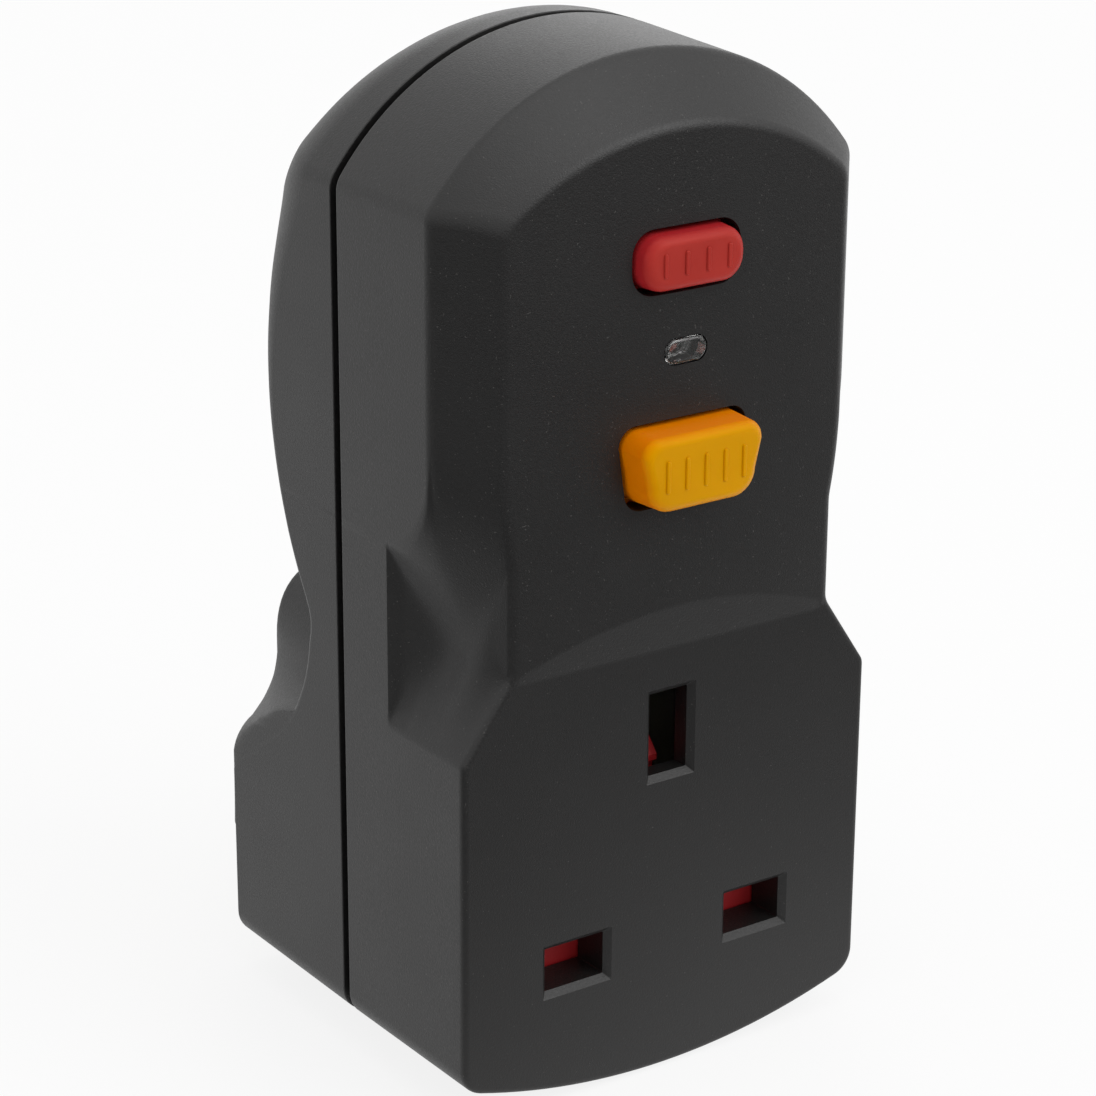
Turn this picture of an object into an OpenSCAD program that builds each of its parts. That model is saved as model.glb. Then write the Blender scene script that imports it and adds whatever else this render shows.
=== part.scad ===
// Plug-through RCD adapter: two moulded shells, three pins, a shuttered socket,
// test and reset buttons, and the trip mechanism on a board between them.
// Modelled lying on its plug face: x is to the user's right, y is up the face and
// z runs from the plug face towards the user. upright() then stands it up.
// The origin is on the plug face, midway between the line and neutral pins.

/* [Housing] */
// Width across the side walls
body_w = 50; // [47:0.5:56]
// Distance from the plug face to the socket face
body_d = 44; // [42:0.5:50]
// Distance from the plug face to the line where the shells meet
parting_z = 22.8; // [22:0.1:23.6]
// Wall of the shells
wall = 2.3; // [2:0.1:2.6]
// Width of the groove between the shells
groove_w = 0.6; // [0.4:0.1:0.8]
// Radius of the arched top
arch_r = 30.15; // [29.5:0.05:33]
// Height of the arch centre above the line and neutral pins
arch_y = 60; // [58:0.5:64]
// Radius of the curved bottom edge
foot_r = 76; // [70:1:100]
// Lowest point of the bottom edge below the line and neutral pins
foot_drop = 14.6; // [14.2:0.1:17]
// Corner radius where the bottom edge meets the sides
foot_corner = 3; // [2.5:0.1:4]
// Corner radius where the arch meets the sides
arch_corner = 2.8; // [2.4:0.1:4]
// Draft of the walls from the parting line to the socket face
side_draft = 0.4; // [0:0.1:0.6]
// Extra drop of the arch from the parting line to the sloping band
arch_draft = 0.5; // [0:0.1:0.8]

/* [Front panel and waist] */
// Width of the button panel
panel_w = 40; // [39:0.5:42]
// Depth of the sloping band between the side walls and the button panel
bevel_d = 5.4; // [4.5:0.1:6]
// Radius of the arch at the top of the button panel
panel_arch_r = 28.3; // [27.5:0.1:29]
// Height of the panel arch centre
panel_arch_y = 55.2; // [54:0.2:57]
// How far the middle of the button panel stands out from the socket face
crown = 1.1; // [0.6:0.1:1.6]
// Width of the waist between the panel and the socket block
neck_w = 40.6; // [40:0.2:43]
// Depth behind the socket face at which the waist starts to flare
neck_d = 9.2; // [8.5:0.1:10]
// Depth behind the socket face at which the waist meets the side wall
notch_d = 12.8; // [12.2:0.1:14]
// Height of the shoulders of the socket block
low_shoulder_y = 24.4; // [23.5:0.1:25]
// Height of the top edge of the socket face
face_top_y = 31.35; // [31:0.05:32]
// Height at which the waist notch ends on the side wall
high_shoulder_y = 43.4; // [43:0.1:46]
// Height of the sloping end of the socket face
ramp_h = 4.8; // [4:0.1:5.6]

/* [Back] */
// Radius of the rounded back
belly_r = 54; // [53:0.1:57]
// Height of the middle of the rounded back
belly_y = 58; // [57.2:0.2:58.8]
// Distance from the plug face to the middle of the rounded back
belly_gap = 2.4; // [2:0.1:2.8]
// Distance from the plug face to the rear end of the flat side walls, where they are deepest
rear_edge_z = 10.6; // [10:0.1:11.4]
// Radius of the rear edge around the arch
rear_edge_r = 11; // [9:0.2:12]
// Width of the narrow part of the plug block
plug_w = 38.8; // [38:0.2:41]
// Height of the top of the plug block
plug_top_y = 30.4; // [30:0.1:32]
// Depth of the grip hollow from the plug face to its deepest point
grip_d = 16.1; // [15:0.1:16.6]

/* [Pins and slots] */
// Distance between the line and neutral pins, and of the earth pin above them
pin_pitch = 22.23; // [22:0.01:22.5]
// Width of the line and neutral pins
pole_w = 6.35; // [6.2:0.05:6.5]
// Thickness of all pins
pin_t = 4; // [3.8:0.05:4.1]
// Length of the line and neutral pins
pole_len = 17.7; // [17.2:0.1:18.2]
// Height of the earth pin's section
earth_h = 8; // [7.8:0.05:8.2]
// Length of the earth pin
earth_len = 22.7; // [22.2:0.1:23.2]
// Length of the insulating sleeves
sleeve_len = 9.5; // [9:0.1:10]
// Wall of the insulating sleeves
sleeve_t = 0.5; // [0.4:0.05:0.6]
// Clearance of each slot around the pin that enters it
slot_gap = 0.3; // [0.28:0.02:0.36]
// Lead-in chamfer of the slots
slot_chamfer = 0.65; // [0.4:0.05:0.8]
// Depth of the slots from the socket face to the shutter
slot_d = 5.2; // [5:0.1:5.6]

/* [Buttons and window] */
// Width of the test button
test_w = 12; // [11:0.2:13]
// Height of the test button
test_h = 5.7; // [5.2:0.1:6.2]
// How far the test button stands out of the panel
test_proud = 1.8; // [1.6:0.1:2.4]
// Height of the test button above the line and neutral pins
test_y = 70.9; // [70.5:0.1:71.2]
// Travel of the test button
test_travel = 1.2; // [0.8:0.1:1.5]
// Width of the reset button
reset_w = 14.5; // [13.5:0.25:15]
// Height of the reset button
reset_h = 7.9; // [7.5:0.1:8.3]
// How far the reset button stands out of the panel
reset_proud = 3.8; // [3.3:0.1:4.5]
// Height of the reset button above the line and neutral pins
reset_y = 51; // [50.6:0.1:51.4]
// Travel of the reset button
reset_travel = 2.5; // [2:0.1:2.8]
// Width of the indicator window
lens_w = 5; // [4.6:0.1:5.4]
// Height of the indicator window
lens_h = 2.6; // [2.4:0.1:2.8]
// Height of the indicator window above the line and neutral pins
lens_y = 61.85; // [61.4:0.05:62.2]

/* [Mechanism] */
// Distance from the plug face to the back of the board
board_z = 28; // [27.6:0.1:28.4]
// Thickness of the board
board_t = 1.6; // [1:0.1:2]
// Diameter of the reset stem
stem_d = 4; // [3.6:0.1:4.2]
// Travel of the shutter
shutter_travel = 6.2; // [6:0.1:6.4]
// Thickness of the shutter plate
shutter_t = 2; // [1.6:0.1:2.2]
// Outer diameter of the trip coil
coil_d = 9.6; // [9:0.1:10]
// Length of the trip coil between its flanges
coil_len = 10.5; // [9.5:0.1:11]
// Diameter of the trip plunger
plunger_d = 3.7; // [3.4:0.1:3.8]
// Travel of the trip plunger
plunger_travel = 2; // [1.5:0.1:2.1]
// Outer diameter of the sensing transformer
core_d = 16; // [15.4:0.1:16.4]
// Length of the sensing transformer
core_len = 8; // [7.4:0.1:8.4]
// Thickness of the contact leaves
leaf_t = 0.6; // [0.5:0.05:0.7]
// Diameter of the case screws' shank
screw_d = 2.9; // [2.6:0.1:3]

/* [Fits] */
// Running clearance between pieces that move past each other
play = 0.3; // [0.25:0.05:0.35]
// Assembly clearance between fixed pieces
fit = 0.05; // [0.03:0.01:0.08]

/* [Hidden] */

$fn = 48;
half_w = body_w / 2;
neck_half = neck_w / 2;
panel_half = panel_w / 2;
pole_x = pin_pitch / 2;
earth_y = pin_pitch;
foot_y = foot_r - foot_drop;
crown_z = body_d + crown;
crown_half = panel_half + 0.6;
crown_r = (pow(crown_half, 2) + pow(crown, 2)) / (2 * crown);
lip_h = 2.1;
lip_t = wall / 2 - 0.1;
rear_skin = wall + 0.1;
front_skin = wall + 0.2;
inner_face_z = body_d - front_skin;
panel_under_z = crown_z - front_skin;
board_front_z = board_z + board_t;

// Stands the lying model up: up the face becomes +Z and the plug face looks along +Y.
module upright() {
  rotate([90, 0, 0]) children();
}

// Extrudes a profile drawn in (y, z) across the width.
module across(width) {
  rotate([90, 0, 90])
    translate([0, 0, -width / 2])
      linear_extrude(width) children();
}

// Turns children so that their z axis runs up the face.
module along_y() {
  rotate([-90, 0, 0]) children();
}

// Box given by its lowest and highest corners.
module block(low, high) {
  translate(low) cube(high - low);
}

// Children on the right, and mirrored on the left.
module both_sides() {
  children();
  mirror([1, 0, 0]) children();
}

// Curve from a to b that leaves and arrives along the lines through the corner c.
function blend(a, c, b, n) =
  [for (i = [0:n]) let(t = i / n) (1 - t) * (1 - t) * a + 2 * t * (1 - t) * c + t * t * b];

function unit(v) = v / norm(v);

// Closed ring of a right half that starts and ends on the middle line.
function mirrored_ring(half) = concat(
  half,
  [for (i = [len(half) - 2:-1:1]) [-half[i][0], half[i][1]]]
);

// Right half of the housing outline from the bottom to the top, for one depth.
// low, high and neck are half widths; ra and ya place the arch; inset moves all of it
// inwards and edge only the part below the shoulders.
function outline_half(low, high, neck, ra, ya, inset, edge) =
  let(
    hl = low - inset - edge,
    hu = high - inset,
    hn = neck - inset,
    rf = foot_r - inset - edge,
    rb = max(foot_corner - inset, 0.7),
    rt = max(arch_corner - inset, 0.7),
    r = ra - inset,
    bx = hl - rb,
    by = foot_y - sqrt(pow(rf - rb, 2) - bx * bx),
    ba = atan2(bx, foot_y - by),
    tx = hu - rt,
    ty = ya + sqrt(pow(r - rt, 2) - tx * tx),
    ta = atan2(ty - ya, tx),
    step = 1,
    low_slope = (face_top_y - low_shoulder_y - step) / (half_w - neck_half),
    high_slope = 1.85,
    notch = hu - hn,
    c1 = [hl, low_shoulder_y - 0.31 * inset],
    c2 = [hn, c1[1] + (hl - hn) * low_slope + step],
    c4 = [hu, high_shoulder_y + 0.33 * inset],
    c3 = [hn, c4[1] - notch * high_slope - step / 2],
    up_low = unit(c2 - c1),
    up_high = unit(c4 - c3),
    ease = 0.4,
    ease_in = 0.2 + 0.15 * notch,
    ease_out = 0.2 + 1.1 * notch
  )
  concat(
    [for (i = [0:6]) let(a = ba * i / 6) [rf * sin(a), foot_y - rf * cos(a)]],
    [for (i = [1:5]) let(a = -90 + ba + (90 - ba) * i / 5) [bx + rb * cos(a), by + rb * sin(a)]],
    blend(c1 - [0, ease], c1, c1 + up_low * ease, 2),
    blend(c2 - up_low * ease, c2, c2 + [0, ease], 2),
    blend(c3 - [0, ease_in], c3, c3 + up_high * ease_in, 4),
    blend(c4 - up_high * ease_out, c4, c4 + [0, ease_out], 7),
    [for (i = [0:5]) let(a = ta * i / 5) [tx + rt * cos(a), ty + rt * sin(a)]],
    [for (i = [1:12]) let(a = ta + (90 - ta) * i / 12) [r * cos(a), ya + r * sin(a)]]
  );

function outline(low, high, neck, ra, ya, inset, edge = 0) =
  mirrored_ring(outline_half(low, high, neck, ra, ya, inset, edge));

function plain_outline(inset) = outline(half_w, half_w, half_w, arch_r, arch_y, inset);

function at_z(ring, z) = [for (p = ring) [p[0], p[1], z]];

// Solid skinned over rings of equal length, from the lowest z to the highest.
// The ends are closed by fans around the middle of each end ring.
module skin(rings, middle) {
  n = len(rings[0]);
  m = len(rings);
  points = concat(
    [for (ring = rings) each ring],
    [[middle[0], middle[1], rings[0][0][2]], [middle[0], middle[1], rings[m - 1][0][2]]]
  );
  sides = [
    for (k = [0:m - 2], i = [0:n - 1])
      let(j = (i + 1) % n, a = k * n, b = (k + 1) * n)
        each [[a + i, b + i, b + j], [a + i, b + j, a + j]]
  ];
  ends = [
    for (i = [0:n - 1])
      let(j = (i + 1) % n, top = (m - 1) * n)
        each [[m * n, i, j], [m * n + 1, top + j, top + i]]
  ];
  polyhedron(points, concat(sides, ends), convexity = 6);
}

// Rounded rectangle; the lower corners may sit further in than the upper ones.
function soft_rectangle(w, h, r, tuck = 0, n = 5) = [
  for (c = [[1, -1], [1, 1], [-1, 1], [-1, -1]], i = [0:n])
    let(
      a = (c == [1, -1] ? -90 : c == [1, 1] ? 0 : c == [-1, 1] ? 90 : 180) + 90 * i / n,
      x = c[0] * (w / 2 - r - (c[1] < 0 ? tuck : 0)),
      y = c[1] * (h / 2 - r)
    )
    [x + r * cos(a), y + r * sin(a)]
];

// Coil spring along z, one unbroken wire.
module coil_spring(r, wire, turns, z0, z1) {
  steps = 10;
  sides = 6;
  count = turns * steps;
  low = z0 + wire / 2;
  rise = z1 - z0 - wire;
  rings = [
    for (i = [0:count])
      let(a = 360 * i / steps, z = low + rise * i / count)
      [
        for (k = [0:sides - 1])
          let(b = 360 * k / sides, q = r + wire / 2 * cos(b))
          [q * cos(a), q * sin(a), z + wire / 2 * sin(b)]
      ]
  ];
  tube(rings, [r, 0, low], [r * cos(360 * turns), r * sin(360 * turns), low + rise]);
}

// Closed tube over rings, with fan ends round the two given points.
module tube(rings, start, end) {
  n = len(rings[0]);
  m = len(rings);
  points = concat([for (ring = rings) each ring], [start, end]);
  sides = [
    for (k = [0:m - 2], i = [0:n - 1])
      let(j = (i + 1) % n, a = k * n, b = (k + 1) * n)
        each [[a + i, b + j, b + i], [a + i, a + j, b + j]]
  ];
  ends = [
    for (i = [0:n - 1])
      let(j = (i + 1) % n, top = (m - 1) * n)
        each [[m * n, j, i], [m * n + 1, top + i, top + j]]
  ];
  polyhedron(points, concat(sides, ends), convexity = 8);
}

// Front of the housing: everything behind the domed panel, the flat socket face
// and the slope between them, moved back by inset.
module front_limit(inset) {
  reach = 200;
  flat_z = body_d - inset;
  over = 12;
  slope_y = face_top_y + over * ramp_h / crown;
  difference() {
    block([-body_w, -reach, 0], [body_w, reach, crown_z + over / 2]);
    across(2 * reach)
      polygon([
        [-2 * reach, flat_z], [face_top_y, flat_z], [slope_y, flat_z + over], [-2 * reach, flat_z + over]
      ]);
    difference() {
      block([-reach, face_top_y + 0.1, body_d / 2], [reach, 2 * reach, crown_z + over]);
      translate([0, -reach, crown_z - crown_r])
        along_y() cylinder(r = crown_r - inset, h = 4 * reach, $fn = 180);
    }
  }
}

// One depth of the front shell. t runs from 0 on the side walls to 1 where the sloping
// band meets the edge of the button panel.
bevel_z = body_d - bevel_d;
bevel_rise = 0.83;

function front_ring(z, neck, t, edge, inset) =
  let(
    q = max(z - parting_z, 0) / (body_d - parting_z),
    wide = half_w - side_draft * q,
    high = wide + (panel_half - wide) * t,
    ta = t * bevel_rise,
    ra = arch_r + arch_draft * q,
    ya = arch_y - (2 * arch_draft + side_draft) * q
  )
  at_z(
    outline(
      wide, high, min(neck, high - 0.01 * t),
      ra + (panel_arch_r - ra) * ta, ya + (panel_arch_y - ya) * ta, inset, edge
    ), z);

// Levels of the front shell as [z, neck half width, t, edge], from the parting line out.
function front_levels(inset, z_start) =
  let(
    back = inset / 2,
    notch_z = body_d - notch_d - back,
    neck_z = body_d - neck_d - back,
    soft = 1.6,
    slope = function(z) (z - bevel_z) / bevel_d,
    bend = blend([bevel_z - soft, 0], [bevel_z, 0], [bevel_z + soft, slope(bevel_z + soft)], 4),
    far_z = crown_z + 2
  )
  concat(
    [[z_start, half_w, 0, 0], [notch_z, half_w, 0, 0], [neck_z, neck_half, 0, 0]],
    [for (b = bend) [b[0] - back, neck_half, b[1], 0]],
    inset > 0
      ? []
      : [for (b = [[0.7, 0], [0.25, 0.12], [0, 0.5]])
          [body_d - b[0], neck_half, slope(body_d - b[0]), b[1]]],
    [[far_z, neck_half, slope(far_z + back), inset > 0 ? 0 : 0.5]]
  );

// Outer form of the front shell for inset 0, and its cavity for a larger inset. The front
// is taken back by depth, and the outer form has a soft edge along the parting line.
module front_form(inset, depth, z_start) {
  rim = inset > 0 ? [] : [[0, 0.5], [0.25, 0.15]];
  rings = concat(
    [for (r = rim) front_ring(z_start + r[0], half_w, 0, 0, r[1])],
    [for (v = front_levels(inset, z_start + (inset > 0 ? 0 : 0.8)))
      front_ring(v[0], v[1], v[2], v[3], inset)]
  );
  intersection() {
    skin(rings, [0, (low_shoulder_y + high_shoulder_y) / 2]);
    front_limit(depth);
  }
}

// Outline of the plug block as seen from the wall, above the level of its shoulders.
function plug_half(inset) =
  let(
    w = plug_w / 2 - inset,
    top = plug_top_y - inset,
    y0 = 9,
    wide = half_w - inset
  )
  concat(
    [[0, -30], [wide, -30], [wide, y0]],
    blend([wide, y0 + 1.6], [wide - 0.4, y0 + 4], [w + 3, y0 + 5.2], 4),
    blend([w + 2.2, y0 + 6.1], [w + 0.4, y0 + 8], [w, y0 + 11.5], 4),
    blend([w, top - 8], [w, top], [w - 8, top], 7),
    [[0, top]]
  );

// Profile of the side walls' rear edge in (y, z) below the waist.
function grip_profile(inset, depth) =
  let(z = parting_z + 6)
  concat(
    [[-40, depth]],
    blend([8.5, depth], [11.6, inset], [13.6, 4 + inset], 4),
    blend(
      [16.2 - inset / 2, 8.4 + inset], [20.2 - inset / 2, grip_d - 1 + inset],
      [28.4, grip_d + inset], 6
    ),
    [[34, grip_d + 1.2 + inset], [34, z], [-40, z]]
  );

// Lowest level of the rounded back, inside the plug block.
belly_low_y = plug_top_y - 12;

// Rear edge: the flat side wall is deepest at edge_mid_y, and towards the arch it gets
// shallower while the radius of its edge grows. Below edge_low_y the edge stays crisp.
edge_mid_y = belly_y - 6;
edge_low_y = edge_mid_y - 12;
edge_top_z = parting_z - 4.9;
edge_sweep_r = 36.8;
edge_low_r = 2;

function edge_z(y) =
  min(
    rear_edge_z + pow(max(y, edge_low_y) - edge_mid_y, 2) / (2 * edge_sweep_r),
    edge_top_z + max(y - edge_mid_y - 26, 0) / 5.5
  ) - 1.2 * max(edge_low_y - y, 0);

function edge_radius(y) =
  let(u = max(y - edge_mid_y + 5, 0))
  min(edge_low_r + 0.16 * u + 0.0065 * u * u, rear_edge_r);

// Fall of the rear edge at a distance in from the wall: an arc of 60 degrees, then straight.
function edge_fall(in, r) =
  in < r / 2 ? sqrt(in * (2 * r - in)) : r * sin(60) + (in - r / 2) * tan(30);

// Outline of the rear shell with extra points along its straight sides.
function rear_outline(inset) =
  let(ring = plain_outline(inset), n = len(ring), steps = 10)
  [
    for (i = [0:n - 1])
      let(a = ring[i], b = ring[(i + 1) % n])
        each norm(b - a) > 12 ? [for (k = [0:steps - 1]) a + (b - a) * k / steps] : [a]
  ];

function edge_ring(inset, in) = [
  for (p = rear_outline(inset + in))
    [p[0], p[1], edge_z(p[1]) - edge_fall(in, max(edge_radius(p[1]) - inset, 0.6))]
];

// Outer form of the rear shell for inset 0, and its cavity for a larger inset. The plug
// face is moved inwards by depth.
module rear_form(inset, depth, z_end) {
  rim = inset > 0 ? [[0, 0]] : [[0.8, 0], [0.25, 0.15], [0, 0.5]];
  steps = inset > 0 ? [12, 4.5, 1.5, 0] : [12, 5.5, 3.6, 2.2, 1.1, 0.35, 0];
  rings = concat(
    [at_z(rear_outline(inset + 12), -90)],
    [for (in = steps) edge_ring(inset, in)],
    [for (r = rim) at_z(rear_outline(inset + r[1]), z_end - r[0])]
  );
  intersection() {
    skin(rings, [0, arch_y / 2]);
    union() {
      across(body_w + 10) polygon(grip_profile(inset, depth));
      intersection() {
        translate([0, belly_y, belly_gap + belly_r]) sphere(r = belly_r - inset, $fn = 120);
        block([-half_w - 5, belly_low_y - inset, 0], [half_w + 5, arch_y * 2, parting_z + 6]);
      }
      translate([0, 0, depth])
        linear_extrude(parting_z) polygon(mirrored_ring(plug_half(inset)));
    }
  }
}

// Places of the case screws: a pair under the arch and a pair beside the pole pins.
boss_r = 3;
post_h = 2.5;
high_screw = [half_w - wall - boss_r - 2.6, arch_y + 12];
low_screw = [half_w - wall - boss_r - 0.3, -4.6];
high_seat_z = parting_z - 5.6;
low_seat_z = parting_z - 8.6;
screw_head_d = 5.6;
screw_head_h = 2.2;
screw_len = 15;
pocket_d = screw_head_d + 0.5;

module at_screws() {
  both_sides() {
    translate([high_screw[0], high_screw[1], high_seat_z]) children();
    translate([low_screw[0], low_screw[1], low_seat_z]) children();
  }
}

// Slot openings: the pin's section with its clearance, and a lead-in chamfer.
slot_w = pole_w + 2 * slot_gap + 0.1;
slot_h = pin_t + 2 * slot_gap;
collar_t = 1.2;
collar_end_z = body_d - slot_d + play;

module slot_cut(w, h) {
  lead = slot_chamfer;
  block([-w / 2, -h / 2, body_d - slot_d - 1], [w / 2, h / 2, body_d + 1]);
  skin([
    at_z(soft_rectangle(w, h, 0.05, n = 1), body_d - lead),
    at_z(soft_rectangle(w + 2.2 * lead, h + 2.2 * lead, 0.05, n = 1), body_d + lead * 0.1)
  ], [0, 0]);
}

module at_poles() {
  for (side = [-1, 1]) translate([side * pole_x, 0, 0]) children();
}

// Hole in the panel for a button, with its running clearance.
module panel_hole(w, h, r, tuck, y) {
  translate([0, y, panel_under_z - 3])
    linear_extrude(10) polygon(soft_rectangle(w + 2 * play, h + 2 * play, r, tuck));
}

test_r = 2.4;
reset_r = 1.9;
reset_tuck = 0.7;

module stadium(w, h) {
  square([w - h, h], center = true);
  for (side = [-1, 1]) translate([side * (w - h) / 2, 0]) circle(d = h);
}

// Height of the sloping guide ribs beside the shutter, and where they stand.
guide_x = pole_x + pole_w / 2 + 1.7;
guide_t = 1.2;
shutter_z = body_d - slot_d - shutter_t;
core_y = 35.6;
core_z = inner_face_z - core_d / 2 - 1;

module front_cover() {
  color("#2b2b2d") upright() {
    difference() {
      union() {
        difference() {
          front_form(0, 0, parting_z + groove_w / 2);
          front_form(wall, front_skin, parting_z - 1);
          translate([0, 0, parting_z - 1])
            linear_extrude(1 + groove_w / 2 + lip_h)
              polygon(plain_outline(wall / 2));
        }
        intersection() {
          front_form(wall / 2, front_skin / 2, 0);
          union() {
            at_screws() translate([0, 0, post_h + fit]) cylinder(r = boss_r, h = 40);
            at_poles()
              block(
                [-slot_w / 2 - collar_t, -slot_h / 2 - collar_t, collar_end_z],
                [slot_w / 2 + collar_t, slot_h / 2 + collar_t, body_d]
              );
            both_sides()
              block(
                [guide_x + play, -8.6, shutter_z - 1],
                [guide_x + play + guide_t, 4, body_d]
              );
            block([-4, core_y - 2, core_z + core_d / 2 + play], [4, core_y + 2, body_d]);
          }
        }
      }
      at_screws() translate([0, 0, -1]) cylinder(d = screw_d + 2 * fit, h = screw_len + 2);
      at_poles() slot_cut(slot_w, slot_h);
      translate([0, earth_y, 0]) slot_cut(pin_t + 2 * slot_gap, earth_h + 2 * slot_gap + 0.1);
      panel_hole(test_w, test_h, test_r, 0, test_y);
      panel_hole(reset_w, reset_h, reset_r, reset_tuck, reset_y);
      translate([0, lens_y, panel_under_z - 3])
        linear_extrude(10) stadium(lens_w + 2 * fit, lens_h + 2 * fit);
    }
  }
}

// Posts of the rear shell that carry the board.
post_r = 1.9;
board_half = half_w - wall - 2.1;
low_post = [board_half - 2, 45];
top_post = [10, 79];
ledge_x = half_w - wall - 2.6;

// Level inside the wall of the rounded back at which a post starts.
function post_z(p) =
  belly_gap + belly_r - sqrt(pow(belly_r, 2) - pow(p[0], 2) - pow(p[1] - belly_y, 2)) + wall / 2;

// Back and thickness of the insulator that lies on the ledges.
base_back_z = parting_z - 5.2;
base_t = 2.4;
base_front_z = base_back_z + base_t;

module rear_cover() {
  color("#2b2b2d") upright() {
    difference() {
      union() {
        difference() {
          rear_form(0, 0, parting_z - groove_w / 2);
          rear_form(wall, rear_skin, parting_z + 1);
        }
        translate([0, 0, parting_z - 3])
          difference() {
            linear_extrude(3 + lip_h - fit) polygon(plain_outline(wall - lip_t));
            translate([0, 0, -1]) linear_extrude(6 + lip_h) polygon(plain_outline(wall));
          }
        intersection() {
          rear_form(wall / 2, rear_skin / 2, parting_z + 1);
          union() {
            at_screws() translate([0, 0, -30]) cylinder(d = pocket_d + 2.3, h = 30 + post_h);
            both_sides() block([ledge_x, -1, 0.5], [half_w, 8, base_back_z]);
          }
        }
        both_sides()
          for (p = [low_post, top_post])
            translate([p[0], p[1], post_z(p)]) cylinder(r = post_r, h = board_z - post_z(p));
      }
      at_screws() {
        translate([0, 0, -40]) cylinder(d = pocket_d, h = 40);
        translate([0, 0, -1]) cylinder(d = screw_d + 2 * fit, h = 40);
      }
      both_sides()
        translate([low_post[0], low_post[1], board_z - 7]) cylinder(d = board_screw_d + 2 * fit, h = 20);
      at_poles()
        block([-pole_w / 2 - fit, -pin_t / 2 - fit, -1], [pole_w / 2 + fit, pin_t / 2 + fit, 6]);
      translate([0, earth_y, 0])
        block([-pin_t / 2 - fit, -earth_h / 2 - fit, -1], [pin_t / 2 + fit, earth_h / 2 + fit, 6]);
    }
  }
}

module case_screws() {
  color("#b9bcc0") upright()
    at_screws() {
      difference() {
        translate([0, 0, -screw_head_h]) cylinder(d = screw_head_d, h = screw_head_h);
        translate([0, 0, -screw_head_h - 1])
          for (turn = [0, 90]) rotate(turn) block([-1.7, -0.4, 0], [1.7, 0.4, 2.2]);
      }
      cylinder(d = screw_d, h = screw_len - 1);
      translate([0, 0, screw_len - 1]) cylinder(d1 = screw_d, d2 = 0.8, h = 1);
    }
}

// Pin: a bar with a chamfered tip, a collar inside the plug face and a shank.
pin_end_z = 7.5;
collar_h = 1.5;
collar_rim = 1;

module pin_bar(w, h, len, tip) {
  skin([
    at_z(soft_rectangle(w - 2 * tip, h - 2 * tip, 0.3, n = 2), -len),
    at_z(soft_rectangle(w, h, 0.3, n = 2), -len + 1.6 * tip),
    at_z(soft_rectangle(w, h, 0.3, n = 2), rear_skin + collar_h)
  ], [0, 0]);
}

module pole_pin() {
  difference() {
    union() {
      pin_bar(pole_w, pin_t, pole_len, 0.8);
      block(
        [-pole_w / 2 - collar_rim, -pin_t / 2 - collar_rim, rear_skin],
        [pole_w / 2 + collar_rim, pin_t / 2 + collar_rim, rear_skin + collar_h]
      );
      block([-2, -1.5, rear_skin], [2, 1.5, pin_end_z]);
    }
    difference() {
      block([-10, -10, -sleeve_len], [10, 10, 0]);
      block(
        [-pole_w / 2 + sleeve_t, -pin_t / 2 + sleeve_t, -20],
        [pole_w / 2 - sleeve_t, pin_t / 2 - sleeve_t, 1]
      );
    }
  }
}

module line_pin() {
  color("#c9b067") upright() translate([pole_x, 0, 0]) pole_pin();
}

module neutral_pin() {
  color("#c9b067") upright() translate([-pole_x, 0, 0]) pole_pin();
}

module pin_sleeves() {
  color("#1d1d1f") upright()
    at_poles()
      translate([0, 0, -sleeve_len])
        difference() {
          linear_extrude(sleeve_len) polygon(soft_rectangle(pole_w, pin_t, 0.3, n = 2));
          block(
            [-pole_w / 2 + sleeve_t - fit, -pin_t / 2 + sleeve_t - fit, -1],
            [pole_w / 2 - sleeve_t + fit, pin_t / 2 - sleeve_t + fit, sleeve_len + 1]
          );
        }
}

earth_shank = [2.4, 5];

module earth_pin() {
  color("#c9b067") upright()
    translate([0, earth_y, 0]) {
      pin_bar(pin_t, earth_h, earth_len, 0.8);
      block(
        [-pin_t / 2 - collar_rim, -earth_h / 2 - collar_rim, rear_skin],
        [pin_t / 2 + collar_rim, earth_h / 2, rear_skin + collar_h]
      );
      block(
        [-earth_shank[0] / 2, -earth_shank[1] / 2, rear_skin],
        [earth_shank[0] / 2, earth_shank[1] / 2, base_front_z]
      );
    }
}

// Insulator that carries the three socket contacts and the shutter spring's lower seat.
base_half = ledge_x + 2.2;
base_foot_y = -2 * pin_t;
base_top_y = earth_y + 4.4;
base_low_half = low_screw[0] - boss_r - 1.2;
base_high_half = plug_w / 2 - wall - 1.6;
spring_seat_y = 3.5;
spring_axis_z = shutter_z - 2.5;

module socket_base() {
  color("#d8d3c6") upright() {
    difference() {
      union() {
        translate([0, 0, base_back_z])
          linear_extrude(base_t)
            polygon(mirrored_ring([
              [0, base_foot_y], [base_low_half, base_foot_y], [base_low_half, 0.4], [base_half, 0.4],
              [base_half, 13.4], [base_high_half, 15.4], [base_high_half, earth_y - 1.2],
              [base_high_half - 4.5, base_top_y], [0, base_top_y]
            ]));
        block([-2, spring_seat_y - 1.8, base_back_z], [2, spring_seat_y, spring_axis_z + 1.8]);
      }
      translate([0, earth_y, 0])
        block(
          [-earth_shank[0] / 2 - fit, -earth_shank[1] / 2 - fit, 0],
          [earth_shank[0] / 2 + fit, earth_shank[1] / 2 + fit, 40]
        );
    }
  }
}

// Spring clip: two leaves that grip a pin and flare at the mouth, on a foot.
clip_end_z = shutter_z - 1.4;

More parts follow.
